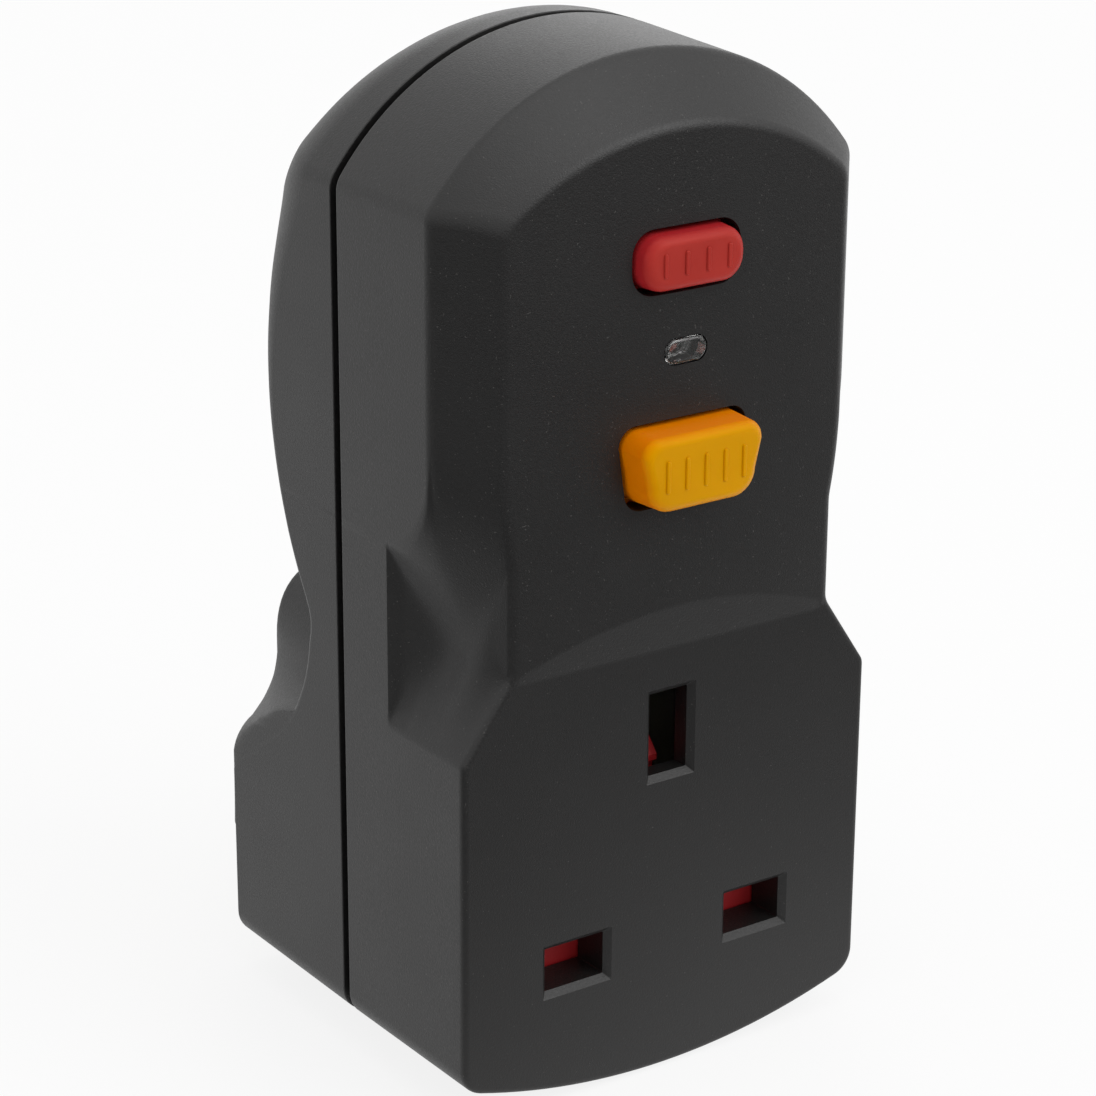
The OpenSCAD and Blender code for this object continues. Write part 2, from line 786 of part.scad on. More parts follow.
module clip(grip, width) {
  foot = base_front_z;
  inner = grip / 2;
  outer = inner + leaf_t;
  pinch = 0.25;
  flare = 0.6;
  across(width)
    polygon(mirrored_ring([
      [0, foot], [outer, foot], [outer, clip_end_z - 4], [outer - pinch, clip_end_z - 2.4],
      [outer + flare, clip_end_z], [inner + flare, clip_end_z], [inner - pinch, clip_end_z - 2.4],
      [inner, clip_end_z - 4], [inner, foot + leaf_t], [0, foot + leaf_t]
    ]));
}

module pole_contact() {
  clip(pin_t + 0.3, pole_w - 0.6);
  block(
    [-pole_w / 2 + 0.3, pin_t / 2, base_front_z],
    [-pole_w / 2 + 3.3, earth_y + 4, base_front_z + leaf_t]
  );
}

module line_contact() {
  color("#cfa64b") upright() translate([pole_x, 0, 0]) pole_contact();
}

module neutral_contact() {
  color("#cfa64b") upright() mirror([1, 0, 0]) translate([pole_x, 0, 0]) pole_contact();
}

module earth_contact() {
  color("#cfa64b") upright() translate([0, earth_y, 0]) rotate(90) clip(pin_t + 0.3, earth_h - 0.8);
}

// Red shutter: a plate behind the line and neutral slots, a stem, and the ramp that
// an earth pin pushes down.
ramp_front_z = body_d - slot_d + 0.7;
ramp_back_z = shutter_z - 3.6;
ramp_foot_y = earth_y - earth_h / 2 - 0.3;
ramp_top_y = ramp_foot_y + shutter_travel + 0.1;
spring_lug_y = ramp_foot_y - 2.3;
plate_half_h = slot_h / 2 + 0.5;
ramp_half = pin_t / 2 - play - 0.1;

module shutter() {
  color("#c3262b") upright() {
    block([-guide_x, -plate_half_h, shutter_z], [guide_x, plate_half_h, shutter_z + shutter_t]);
    block([-ramp_half, 0, shutter_z], [ramp_half, ramp_foot_y, shutter_z + shutter_t]);
    across(2 * ramp_half)
      polygon([
        [ramp_foot_y - 0.6, ramp_front_z], [ramp_foot_y, ramp_front_z],
        [ramp_top_y, ramp_back_z + 1], [ramp_top_y, ramp_back_z],
        [spring_lug_y, ramp_back_z], [spring_lug_y, shutter_z + shutter_t / 2],
        [ramp_foot_y - 0.6, shutter_z + shutter_t / 2]
      ]);
  }
}

shutter_spring_r = 1.4;
spring_wire = 0.4;

module shutter_spring() {
  color("#aeb2b8") upright()
    translate([0, 0, spring_axis_z])
      along_y()
        coil_spring(shutter_spring_r, spring_wire, 6, spring_seat_y + fit, spring_lug_y - fit);
}

// Brass bars from the pole pins, behind the socket base and up to the board.
bar_z = base_back_z - 1.2;
bar_t = 0.8;
bar_half = 2;
bar_foot = 1.6;
bar_rise = 3.2;
bar_top_y = core_y + bar_rise;

module feed_bar() {
  block([-bar_half, -bar_foot, pin_end_z], [bar_half, bar_foot, pin_end_z + bar_t]);
  block([-bar_half, bar_foot - bar_t, pin_end_z], [bar_half, bar_foot, bar_z]);
  block([-bar_half, bar_foot - bar_t, bar_z], [bar_half, bar_top_y, bar_z + bar_t]);
  block([-bar_half, bar_top_y - bar_t, bar_z], [bar_half, bar_top_y, board_z]);
}

module line_feed_bar() {
  color("#c99a4a") upright() translate([pole_x, 0, 0]) feed_bar();
}

module neutral_feed_bar() {
  color("#c99a4a") upright() mirror([1, 0, 0]) translate([pole_x, 0, 0]) feed_bar();
}

// Board with a bay for the sensing transformer, and holes for the stem and its guides. The
// bay leaves room for the wires, which climb out of the transformer over the board.
board_low_y = bar_top_y - 1.6;
bay_gap = 1.4;
board_edge_gap = 4.85;
wire_r = 1.1;
wire_exit_z = max(core_z, board_front_z + wire_r + 1.2);
bay_half = core_d / 2 + 1;
bay_y = core_y + core_len / 2 + bay_gap + wire_exit_z - core_z;
board_top_y = arch_y + arch_r - wall - board_edge_gap;
guide_post = [2, 2.6];
guide_post_x = 6.5;

module circuit_board() {
  color("#2f6b3c") upright()
    translate([0, 0, board_z])
      difference() {
        linear_extrude(board_t)
          difference() {
            polygon([
              [-board_half, board_low_y], [-bay_half, board_low_y], [-bay_half, bay_y],
              [bay_half, bay_y], [bay_half, board_low_y], [board_half, board_low_y],
              [board_half, high_screw[1] - boss_r - 2], [12.6, high_screw[1] - boss_r],
              [12.6, board_top_y], [-12.6, board_top_y],
              [-12.6, high_screw[1] - boss_r], [-board_half, high_screw[1] - boss_r - 2]
            ]);
            for (side = [-1, 1])
              translate([side * guide_post_x, reset_y])
                square([guide_post[0] + 4 * fit, guide_post[1] + 4 * fit], center = true);
          }
        translate([0, reset_y, -1]) cylinder(d = stem_d + 2, h = board_t + 2);
        both_sides()
          translate([low_post[0], low_post[1], -1]) cylinder(d = board_screw_d + 2 * fit, h = board_t + 2);
      }
}

board_screw_d = 1.8;
board_screw_len = 5;
board_head_d = 3.4;
board_head_h = 1.3;

module board_screws() {
  color("#b9bcc0") upright()
    both_sides()
      translate([low_post[0], low_post[1], board_front_z]) {
        cylinder(d = board_head_d, h = board_head_h);
        translate([0, 0, -board_t - board_screw_len])
          cylinder(d = board_screw_d, h = board_t + board_screw_len + board_head_h / 2);
      }
}

// Sensing transformer: a ring core in a wound sleeve, its axis up the face.
winding_t = 0.9;
core_bore = core_d / 2 + 0.6;

module sense_core() {
  color("#4a4642") upright()
    translate([0, core_y, core_z]) along_y()
      difference() {
        translate([0, 0, -core_len / 2 + winding_t + fit])
          cylinder(d = core_d - 2 * winding_t - 2 * fit, h = core_len - 2 * winding_t - 2 * fit);
        cylinder(d = core_bore + 2 * winding_t + 2 * fit, h = 2 * core_len, center = true);
      }
}

module sense_winding() {
  color("#b5652b") upright()
    translate([0, core_y, core_z]) along_y()
      rotate(120)
        rotate_extrude(angle = 300)
          difference() {
            translate([core_bore / 2, -core_len / 2])
              square([(core_d - core_bore) / 2, core_len]);
            translate([core_bore / 2 + winding_t, -core_len / 2 + winding_t])
              square([(core_d - core_bore) / 2 - 2 * winding_t, core_len - 2 * winding_t]);
          }
}

// Insulated wire through the transformer, from a contact's tail to the board.
wire_x = pole_x - pole_w / 2 + 1.8;
wire_end_x = bay_half + 3.4;
wire_route = [
  [wire_x, earth_y + 2.6, base_front_z + leaf_t + wire_r + 0.1],
  [wire_x, earth_y + 5.2, base_front_z + 3.6],
  [5, core_y - core_len / 2 - 2.4, core_z - 3],
  [1.9, core_y - core_len / 2 - 1.3, core_z],
  [1.9, core_y + core_len / 2 + 1, core_z],
  [6, core_y + core_len / 2 + 2.6, wire_exit_z + 0.4],
  [wire_end_x, core_y + core_len / 2 + 3, wire_exit_z - 0.6],
  [wire_end_x, core_y + core_len / 2 + 3, board_front_z + fit]
];

// Rings square to a route, with mitred corners.
function route_rings(route, r, sides) =
  let(last = len(route) - 1)
  [
    for (k = [0:last])
      let(
        t_in = unit(route[max(k, 1)] - route[max(k, 1) - 1]),
        t_out = unit(route[min(k, last - 1) + 1] - route[min(k, last - 1)]),
        t = unit(t_in + t_out),
        u = unit(cross(t, [0.35, 0.2, 0.9])),
        v = cross(t, u)
      )
      [
        for (i = [0:sides - 1])
          let(a = 360 * i / sides) route[k] + r * (u * cos(a) + v * sin(a))
      ]
  ];

module load_wire() {
  rings = route_rings(wire_route, wire_r, 8);
  tube(rings, wire_route[0], wire_route[len(wire_route) - 1]);
}

module line_load_wire() {
  color("#7a4a2c") upright() load_wire();
}

module neutral_load_wire() {
  color("#2f5f9e") upright() mirror([1, 0, 0]) load_wire();
}

// Frame that guides the reset stem in front of the board and the carrier behind it.
frame_half = 8.5;
frame_reach = 6.4;
frame_lift = 3.9;
frame_low_y = reset_y - frame_reach;
frame_high_y = reset_y + frame_reach;
frame_z = board_front_z + frame_lift;
frame_t = 2.5;
frame_front_z = frame_z + frame_t;
carrier_gap = 5.9;
hub_drop = 8;
carrier_low_z = board_z - carrier_gap;
carrier_t = 1.6;
hub_low_z = board_z - hub_drop;

module mechanism_frame() {
  color("#e4e0d4") upright() {
    difference() {
      block([-frame_half, frame_low_y, frame_z], [frame_half, frame_high_y, frame_front_z]);
      translate([0, reset_y, frame_z - 1]) cylinder(d = stem_d + 2 * play, h = frame_t + 2);
    }
    both_sides() {
      for (y = [frame_low_y, frame_high_y - 2])
        block([frame_half - 3, y, board_front_z], [frame_half, y + 2, frame_z]);
      translate([guide_post_x, reset_y, 0]) {
        block(
          [-guide_post[0] / 2, -guide_post[1] / 2, carrier_low_z - play - 1],
          [guide_post[0] / 2, guide_post[1] / 2, frame_z]
        );
        block(
          [-guide_post[0] / 2, -guide_post[1] / 2, carrier_low_z - play - 1],
          [guide_post[0] / 2 + 0.8, guide_post[1] / 2, carrier_low_z - play]
        );
      }
    }
  }
}

// Button: a cap with soft edges, a flange behind the panel and a stem.
flange_t = 1.2;
flange_rim = 1;
flange_back_z = panel_under_z - play - 0.2 - flange_t;

module button_cap(w, h, r, tuck, front_z) {
  soft = 0.7;
  draft = 0.25;
  ring = function(inset) soft_rectangle(w - 2 * inset, h - 2 * inset, r - inset / 2, tuck);
  skin([
    at_z(ring(0), flange_back_z),
    at_z(ring(0), panel_under_z),
    at_z(ring(draft), front_z - soft),
    at_z(ring(draft + 0.1), front_z - soft * 0.5),
    at_z(ring(draft + 0.3), front_z - soft * 0.15),
    at_z(ring(draft + soft), front_z)
  ], [0, 0]);
}

module button_flange(w, h) {
  block(
    [-w / 2 - flange_rim, -h / 2 - flange_rim, flange_back_z],
    [w / 2 + flange_rim, h / 2 + flange_rim, flange_back_z + flange_t]
  );
}

// The stem ends just clear of the latch plate, with the groove that the plate catches.
latch_z = hub_low_z - play - 1;
latch_t = 1;
stem_end_z = latch_z + latch_t + play;

module reset_button() {
  color("#f2a60d") upright()
    translate([0, reset_y, 0]) {
      button_cap(reset_w, reset_h, reset_r, reset_tuck, crown_z + reset_proud);
      button_flange(reset_w, reset_h);
      difference() {
        translate([0, 0, stem_end_z]) cylinder(d = stem_d, h = flange_back_z + 0.5 - stem_end_z);
        translate([0, 0, stem_end_z + 1.2])
          difference() {
            cylinder(d = stem_d + 2, h = latch_t + 0.5);
            translate([0, 0, -1]) cylinder(d = stem_d - 1.4, h = latch_t + 3);
          }
      }
    }
}

module reset_spring() {
  color("#aeb2b8") upright()
    translate([0, reset_y, 0])
      coil_spring(stem_d / 2 + 0.8, 0.45, 4, frame_front_z + fit, flange_back_z - fit);
}

// Carrier: a hub round the stem with two pads that lift the contact arms.
arm_x = pole_x + 0.3;
arm_w = 4;
arm_t = 0.5;
arm_z = carrier_low_z + carrier_t + play;
arm_root_gap = 2.4;
arm_reach = 7;
rivet_inset = 2;
arm_root_y = core_y + core_len / 2 + arm_root_gap;
arm_tip_y = reset_y + arm_reach;
rivet_y = arm_tip_y - rivet_inset;
rivet_h = 0.8;
rivet_d = 3;

module contact_carrier() {
  color("#ece8dc") upright()
    translate([0, reset_y, 0])
      difference() {
        union() {
          block(
            [-arm_x - arm_w / 2, -1, carrier_low_z],
            [arm_x + arm_w / 2, 1, carrier_low_z + carrier_t]
          );
          block(
            [-guide_post_x - 2.4, -2.4, carrier_low_z],
            [guide_post_x + 2.4, 2.4, carrier_low_z + carrier_t]
          );
          translate([0, 0, hub_low_z]) cylinder(d = stem_d + 2.8, h = board_z - 3.5 - hub_low_z);
          both_sides() {
            block(
              [latch_half + play, -3.4, latch_z - play - 0.8],
              [latch_half + 1.4, 2.4, carrier_low_z + 0.1]
            );
            block(
              [latch_half - 0.7, -3.4, latch_z - play - 0.8],
              [latch_half + 1.4, 2.4, latch_z - play]
            );
          }
        }
        translate([0, 0, latch_z - 2]) cylinder(d = stem_d + 2 * play, h = 20);
        both_sides()
          translate([guide_post_x, 0, carrier_low_z - 1])
            block(
              [-guide_post[0] / 2 - play, -guide_post[1] / 2 - play, 0],
              [guide_post[0] / 2 + play, guide_post[1] / 2 + play, carrier_t + 2]
            );
      }
}

// Latch plate under the carrier, with a slot for the stem and a tab for the plunger.
plunger_drop = 2.2;
tab_reach = 4.4;
plunger_z = latch_z - plunger_drop;
tab_y = reset_y + tab_reach;
tab_t = 0.8;
neck_d_plunger = plunger_d - 1.7;
latch_half = 3.2;
latch_tail = plunger_travel + stem_d / 2 + 0.8;

module latch_plate() {
  color("#9da2a8") upright() {
    difference() {
      block([-latch_half, reset_y - latch_tail, latch_z], [latch_half, tab_y + tab_t, latch_z + latch_t]);
      for (y = [reset_y, reset_y - plunger_travel])
        translate([0, y, latch_z - 1]) cylinder(d = stem_d + 2 * play, h = latch_t + 2);
      block(
        [-stem_d / 2 - play, reset_y - plunger_travel, latch_z - 1],
        [stem_d / 2 + play, reset_y, latch_z + latch_t + 1]
      );
    }
    difference() {
      block([-latch_half, tab_y, plunger_z - 2.6], [latch_half, tab_y + tab_t, latch_z + 0.1]);
      block(
        [-neck_d_plunger / 2 - play, tab_y - 1, plunger_z - 4],
        [neck_d_plunger / 2 + play, tab_y + tab_t + 1, plunger_z + neck_d_plunger / 2 + play]
      );
    }
  }
}

// Moving contact arm: a leaf with a rivet at its free end.
module contact_arm() {
  block([-arm_w / 2, arm_root_y - 1, arm_z], [arm_w / 2, arm_tip_y, arm_z + arm_t]);
  translate([0, rivet_y, arm_z]) cylinder(d = rivet_d, h = arm_t + rivet_h);
}

module line_arm() {
  color("#c99a4a") upright() translate([arm_x, 0, 0]) contact_arm();
}

module neutral_arm() {
  color("#c99a4a") upright() translate([-arm_x, 0, 0]) contact_arm();
}

contact_gap = 1.5;
pad_half = 2;
pad_reach = 3.4;
pad_t = 0.6;

module fixed_contacts() {
  color("#c9c3b4") upright()
    both_sides()
      translate([arm_x, rivet_y, 0]) {
        translate([0, 0, arm_z + arm_t + rivet_h + contact_gap])
          cylinder(d = rivet_d + 0.2, h = board_z - arm_z - arm_t - rivet_h - contact_gap);
        block([-pad_half, -rivet_d / 2 - 0.1, board_z - pad_t], [pad_half, pad_reach, board_z]);
      }
}

module arm_terminals() {
  color("#c99a4a") upright()
    both_sides()
      block(
        [arm_x - arm_w / 2, arm_root_y - 1, arm_z + arm_t + play],
        [arm_x + arm_w / 2, arm_root_y + 0.8, board_z]
      );
}

// Trip solenoid behind the board: yoke, bobbin, coil and plunger, axis up the face.
yoke_t = 1.2;
yoke_half = coil_d / 2 + 0.6;
yoke_y = tab_y + tab_t + plunger_travel + 1.4;
flange_h = 0.95;
yoke_len = coil_len + 2 * (yoke_t + flange_h + 2 * fit);
bobbin_y = yoke_y + yoke_t + fit;

module solenoid_yoke() {
  color("#8d9298") upright() {
    difference() {
      union() {
        for (y = [yoke_y, yoke_y + yoke_len - yoke_t])
          block([-yoke_half, y, plunger_z - coil_d / 2 - 0.2], [yoke_half, y + yoke_t, board_z]);
        block(
          [-yoke_half, yoke_y, plunger_z + coil_d / 2 + 0.4],
          [yoke_half, yoke_y + yoke_len, plunger_z + coil_d / 2 + 0.4 + yoke_t]
        );
      }
      translate([0, yoke_y - 1, plunger_z])
        along_y() cylinder(d = plunger_d + 2 * play, h = yoke_t + 2);
    }
  }
}

module solenoid_bobbin() {
  color("#e9e6da") upright()
    translate([0, bobbin_y, plunger_z]) along_y()
      difference() {
        union() {
          cylinder(d = plunger_d + 2.4, h = coil_len + 2 * flange_h);
          for (z = [0, coil_len + flange_h])
            translate([0, 0, z]) cylinder(d = coil_d, h = flange_h);
        }
        translate([0, 0, -1]) cylinder(d = plunger_d + 2 * play, h = coil_len + 4);
      }
}

module solenoid_coil() {
  color("#a8552a") upright()
    translate([0, bobbin_y + flange_h + fit, plunger_z]) along_y()
      difference() {
        cylinder(d = coil_d - 0.4, h = coil_len - 2 * fit);
        translate([0, 0, -1]) cylinder(d = plunger_d + 2.4 + 2 * fit, h = coil_len + 2);
      }
}

plunger_len = coil_len * 0.7 + 5;
head_t = 1.1;

module trip_plunger() {
  color("#c4c8cc") upright()
    translate([0, tab_y + tab_t + play, plunger_z]) along_y() {
      cylinder(d = plunger_d, h = plunger_len);
      translate([0, 0, -tab_t - 2 * play - head_t]) cylinder(d = neck_d_plunger, h = plunger_len);
      translate([0, 0, -tab_t - 2 * play - head_t]) cylinder(d = plunger_d - 0.3, h = head_t);
    }
}

// Spring collar on the plunger's side of the tab to the yoke.
module plunger_spring() {
  color("#aeb2b8") upright()
    translate([0, 0, plunger_z])
      along_y()
        coil_spring(plunger_d / 2 + 0.55, 0.3, 3, tab_y + tab_t + fit, yoke_y - fit);
}

// Test switch on the board, and the button and spring that work it.
switch_h = 5.4;
switch_half = 3.6;
switch_top_z = board_front_z + switch_h;
test_stem_d = 3;

module test_switch() {
  color("#3a3a3c") upright()
    translate([0, test_y, 0])
      difference() {
        block([-switch_half, -switch_half, board_front_z], [switch_half, switch_half, switch_top_z]);
        translate([0, 0, switch_top_z - test_travel - play])
          cylinder(d = test_stem_d + 2 * play, h = 10);
      }
}

module test_button() {
  color("#c8332f") upright()
    translate([0, test_y, 0]) {
      button_cap(test_w, test_h, test_r, 0, crown_z + test_proud);
      button_flange(test_w, test_h);
      translate([0, 0, switch_top_z]) cylinder(d = test_stem_d, h = flange_back_z + 0.5 - switch_top_z);
    }
}

module test_spring() {
  color("#aeb2b8") upright()
    translate([0, test_y, 0])
      coil_spring(test_stem_d / 2 + 0.7, spring_wire, 4, switch_top_z + fit, flange_back_z - fit);
}

// Indicator: a clear window with a flange behind the panel, over a lamp on a spacer.
lens_flange_t = 1;

module indicator_lens() {
  color("#d9dde0", 0.6) upright()
    translate([0, lens_y, 0]) {
      translate([0, 0, panel_under_z - lens_flange_t])
        linear_extrude(crown_z + 0.15 - panel_under_z + lens_flange_t) stadium(lens_w, lens_h);
      translate([0, 0, panel_under_z - lens_flange_t - fit])
        linear_extrude(lens_flange_t) stadium(lens_w + 1.6, lens_h + 1.2);
    }
}

lamp_d = 3;
lamp_top_z = panel_under_z - lens_flange_t - play;
spacer_top_z = lamp_top_z - 4.6;

module indicator_lamp() {
  color("#d8b9b4") upright()
    translate([0, lens_y, spacer_top_z]) {
      cylinder(d = lamp_d + 0.8, h = 0.8);
      cylinder(d = lamp_d, h = lamp_top_z - spacer_top_z - lamp_d / 2);
      translate([0, 0, lamp_top_z - spacer_top_z - lamp_d / 2]) sphere(d = lamp_d);
    }
}

module lamp_spacer() {
  color("#efece4") upright()
    translate([0, lens_y, board_front_z])
      difference() {
        cylinder(d = lamp_d + 0.6, h = spacer_top_z - board_front_z);
        for (side = [-1, 1])
          translate([side * 0.8, 0, -1]) cylinder(d = 0.7, h = 20);
      }
}

// Parts on the board: surge varistor, film capacitor, control chip and test resistor.
side_part_x = yoke_half + plunger_travel + 2 * fit + play;
side_part_y = high_screw[1] - boss_r - 4;
lead_d = 0.7;
varistor_d = 10;
varistor_t = 4;
capacitor_size = [5, 10, 9];
chip_size = [6, 5, 1.6];
chip_corner = [-18, reset_y + 4];
chip_lift = 0.3;
leg_pitch = 1.2;
resistor_d = 2.4;
resistor_len = 7;

module varistor() {
  color("#3c6fa8") upright()
    translate([side_part_x, side_part_y, board_z - varistor_d / 2 - 0.4]) {
      rotate([0, 90, 0]) cylinder(d = varistor_d, h = varistor_t);
      for (side = [-1, 1])
        translate([varistor_t / 2, side * varistor_d / 4, 0])
          cylinder(d = lead_d, h = varistor_d / 2 + 0.4);
    }
}

module capacitor() {
  color("#b98a2f") upright()
    translate([-side_part_x - capacitor_size[0] / 2, side_part_y, board_z - capacitor_size[2]])
      linear_extrude(capacitor_size[2])
        polygon(soft_rectangle(capacitor_size[0], capacitor_size[1], 0.6, n = 2));
}

module control_chip() {
  color("#232326") upright() {
    translate([chip_corner[0], chip_corner[1], board_front_z]) {
      block([0, 0, chip_lift], chip_size + [0, 0, chip_lift]);
      for (k = [0:3])
        translate([0, 0.4 + k * leg_pitch, 0])
          block([-0.9, 0, 0], [chip_size[0] + 0.9, 0.5, chip_lift + 0.2]);
    }
  }
}

module test_resistor() {
  color("#b7a27e") upright()
    translate([15, reset_y, board_front_z + resistor_d / 2 + 0.1]) {
      along_y() cylinder(d = resistor_d, h = resistor_len);
      for (y = [-0.8, resistor_len])
        translate([0, y, 0]) along_y() cylinder(d = lead_d, h = 0.8);
      for (y = [-0.8, resistor_len + 0.8])
        translate([0, y, -resistor_d / 2 - 0.1]) cylinder(d = lead_d, h = resistor_d / 2 + 0.4);
    }
}

front_cover();
rear_cover();
case_screws();
earth_pin();
line_pin();
neutral_pin();
pin_sleeves();
socket_base();
earth_contact();
line_contact();
neutral_contact();
shutter();
shutter_spring();
line_feed_bar();
neutral_feed_bar();
circuit_board();
board_screws();
sense_core();
sense_winding();
line_load_wire();
neutral_load_wire();
mechanism_frame();
reset_button();
reset_spring();
contact_carrier();
latch_plate();
line_arm();
neutral_arm();
fixed_contacts();
arm_terminals();
solenoid_yoke();
solenoid_bobbin();
solenoid_coil();
trip_plunger();
plunger_spring();
test_button();
test_spring();
test_switch();
indicator_lens();
indicator_lamp();
lamp_spacer();
varistor();
capacitor();
control_chip();
test_resistor();
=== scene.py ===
from math import atan2, cos, pi, radians, sin, sqrt, tan

import bmesh
import bpy
from mathutils import Matrix, Vector


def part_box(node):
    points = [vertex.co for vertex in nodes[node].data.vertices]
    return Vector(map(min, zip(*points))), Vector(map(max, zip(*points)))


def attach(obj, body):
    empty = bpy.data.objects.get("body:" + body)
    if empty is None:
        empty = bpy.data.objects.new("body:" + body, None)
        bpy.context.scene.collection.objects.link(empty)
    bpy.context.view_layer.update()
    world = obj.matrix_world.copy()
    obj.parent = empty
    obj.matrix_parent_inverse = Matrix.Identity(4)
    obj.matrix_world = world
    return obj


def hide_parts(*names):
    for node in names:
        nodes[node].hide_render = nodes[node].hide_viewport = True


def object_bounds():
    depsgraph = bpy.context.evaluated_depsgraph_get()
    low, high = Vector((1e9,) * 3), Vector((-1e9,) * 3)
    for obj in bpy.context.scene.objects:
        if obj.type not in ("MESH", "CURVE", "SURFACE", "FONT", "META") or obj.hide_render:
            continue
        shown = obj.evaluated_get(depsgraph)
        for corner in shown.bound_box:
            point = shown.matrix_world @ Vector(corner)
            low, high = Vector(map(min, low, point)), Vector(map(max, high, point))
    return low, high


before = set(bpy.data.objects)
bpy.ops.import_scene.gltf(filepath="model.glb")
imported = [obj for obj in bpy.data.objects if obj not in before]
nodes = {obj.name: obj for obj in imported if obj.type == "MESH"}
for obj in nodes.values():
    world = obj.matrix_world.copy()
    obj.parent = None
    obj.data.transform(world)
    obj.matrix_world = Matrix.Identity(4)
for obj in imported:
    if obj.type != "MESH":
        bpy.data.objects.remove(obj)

cad_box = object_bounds()

# Rear shell: the black back half of the housing, injection moulded in one piece, with a
# rounded back, finger hollows at the sides and the block that carries the pins. It is
# drawn lying on its plug face in millimetres: x right, y up the face, z to the user.
MM = 0.001
STAND_UP = Matrix.Scale(MM, 4) @ Matrix.Rotation(pi / 2, 4, "X")

rear_low, rear_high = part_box("rear_cover")
half_w = rear_high.x / MM
foot_r, foot_corner = 76.0, 3.0
foot_y = foot_r + rear_low.z / MM
arch_r, arch_corner, least_corner = 30.15, 2.8, 0.7
arch_y = rear_high.z / MM - arch_r
parting_z, groove_w, wall = 22.8, 0.6, 2.3

# A sliver keeps two faces out of one plane, and a cutting tool reaches through the face that
# it cuts or beyond the whole housing. Points closer than the weld are merged, in their order
# along one slanted line, so that each run gives the same mesh.
sliver, through, beyond = 0.02, 1.0, 40.0
weld, weld_line, cut_snap = 0.002, Vector((0.71, 0.37, 0.59)), 0.01

neck_half = 20.3
low_shoulder_y, face_top_y, high_shoulder_y = 24.4, 31.35, 43.4
waist_step, low_creep, high_creep = 1.0, 0.31, 0.33
low_slope = (face_top_y - low_shoulder_y - waist_step) / (half_w - neck_half)
high_slope, shoulder_lift, neck_lift = 1.85, 4.8, 2.0
soft_ease, tight_ease, ease_gap = 0.45, 0.2, 0.05
low_ease_share, neck_ease_share, high_ease_share, flare_ease = 0.25, 0.5, 0.15, 5.5

belly_r, belly_y, belly_gap, belly_fillet = 54.0, 58.0, 2.4, 1.5
edge_mid_y, edge_low_y, edge_mid_z, edge_top_z = belly_y - 6, belly_y - 18, 10.6, 17.9
edge_sweep_r, edge_fillet, edge_blend = 36.8, 1.0, 3.0
edge_roof_up, edge_roof_run, edge_foot_slope = 26, 5.5, 1.2
edge_low_r, edge_high_r, edge_least_r = 2.0, 11.0, 0.6
edge_swell_start, edge_swell, edge_swell_gain = 5, 0.16, 0.0065
arch_soft_gain, arch_soft_r, arch_flat = 4, 11, 1

plug_half_w, plug_top_y, plug_skin, plug_edge_r = 19.4, 30.4, 2.4, 0.6
plug_foot_y, plug_corner, flank_y, flank_least_d = 2, 8, 9, 0.1
plug_slant, plug_slant_y, plug_slant_run = 0.5, 28.5, 12
plug_rise, plug_rise_run, plug_rise_start = 0.25, 8, 2
plug_levels = range(1, 19)
shoulder_r, shoulder_low_y, shoulder_y, shoulder_high_y = 4.0, 8.5, 12.0, 22.0
crisp_r, crisp_run = 0.9, 6
scoop_turn_y, scoop_low_y, scoop_low_d = 11.6, 13.6, 4
scoop_bend_y, scoop_bend_d, scoop_floor_y, scoop_end_y = 16.2, 8.4, 20.2, 28.4
grip_d, grip_floor_rise, grip_far_y, grip_far_rise = 16.1, 1, 90, 14

ledge_drop, ledge_inset, rim_r = 0.3, 1.0, 0.12
ring_pitch = 1.2
outer_steps = (0, 0.03, 0.12, 0.28, 0.5, 0.9, 1.5, 2.4, 3.6, 5.2, 8, 12)
inner_steps = (0, 1.5, 4.5, 12)
outer_grid, inner_grid = 1, 3
grid_columns, grid_rows, grid_half_rows = range(-24, 25), range(-14, 90), range(17, 46)


def clamp(value):
    return min(max(value, 0), 1)


def arc(x, y, r, start, end, n):
    turns = [start + (end - start) * i / n for i in range(n + 1)]
    return [Vector((x + r * cos(a), y + r * sin(a))) for a in turns]


def blend(a, corner, b, n):
    a, corner, b = Vector(a), Vector(corner), Vector(b)
    steps = [i / n for i in range(n + 1)]
    return [(1 - t) ** 2 * a + 2 * t * (1 - t) * corner + t * t * b for t in steps]


def rounded_edge(rise, setback, n):
    turns = [pi / 2 * i / n for i in range(n + 1)]
    return [(rise * (1 - cos(a)), setback * (1 - sin(a))) for a in turns]


def mirrored(half):
    return half + [Vector((-p.x, p.y)) for p in half[-2:0:-1]]


def foot_curve(low, inset):
    r, corner_r = foot_r - inset, max(foot_corner - inset, least_corner)
    corner_x = low - corner_r
    corner_y = foot_y - sqrt((r - corner_r) ** 2 - corner_x * corner_x)
    turn = atan2(corner_x, foot_y - corner_y)
    return (
        arc(0, foot_y, r, -pi / 2, -pi / 2 + turn, 14)
        + arc(corner_x, corner_y, corner_r, -pi / 2 + turn, 0, 9)[1:]
    )


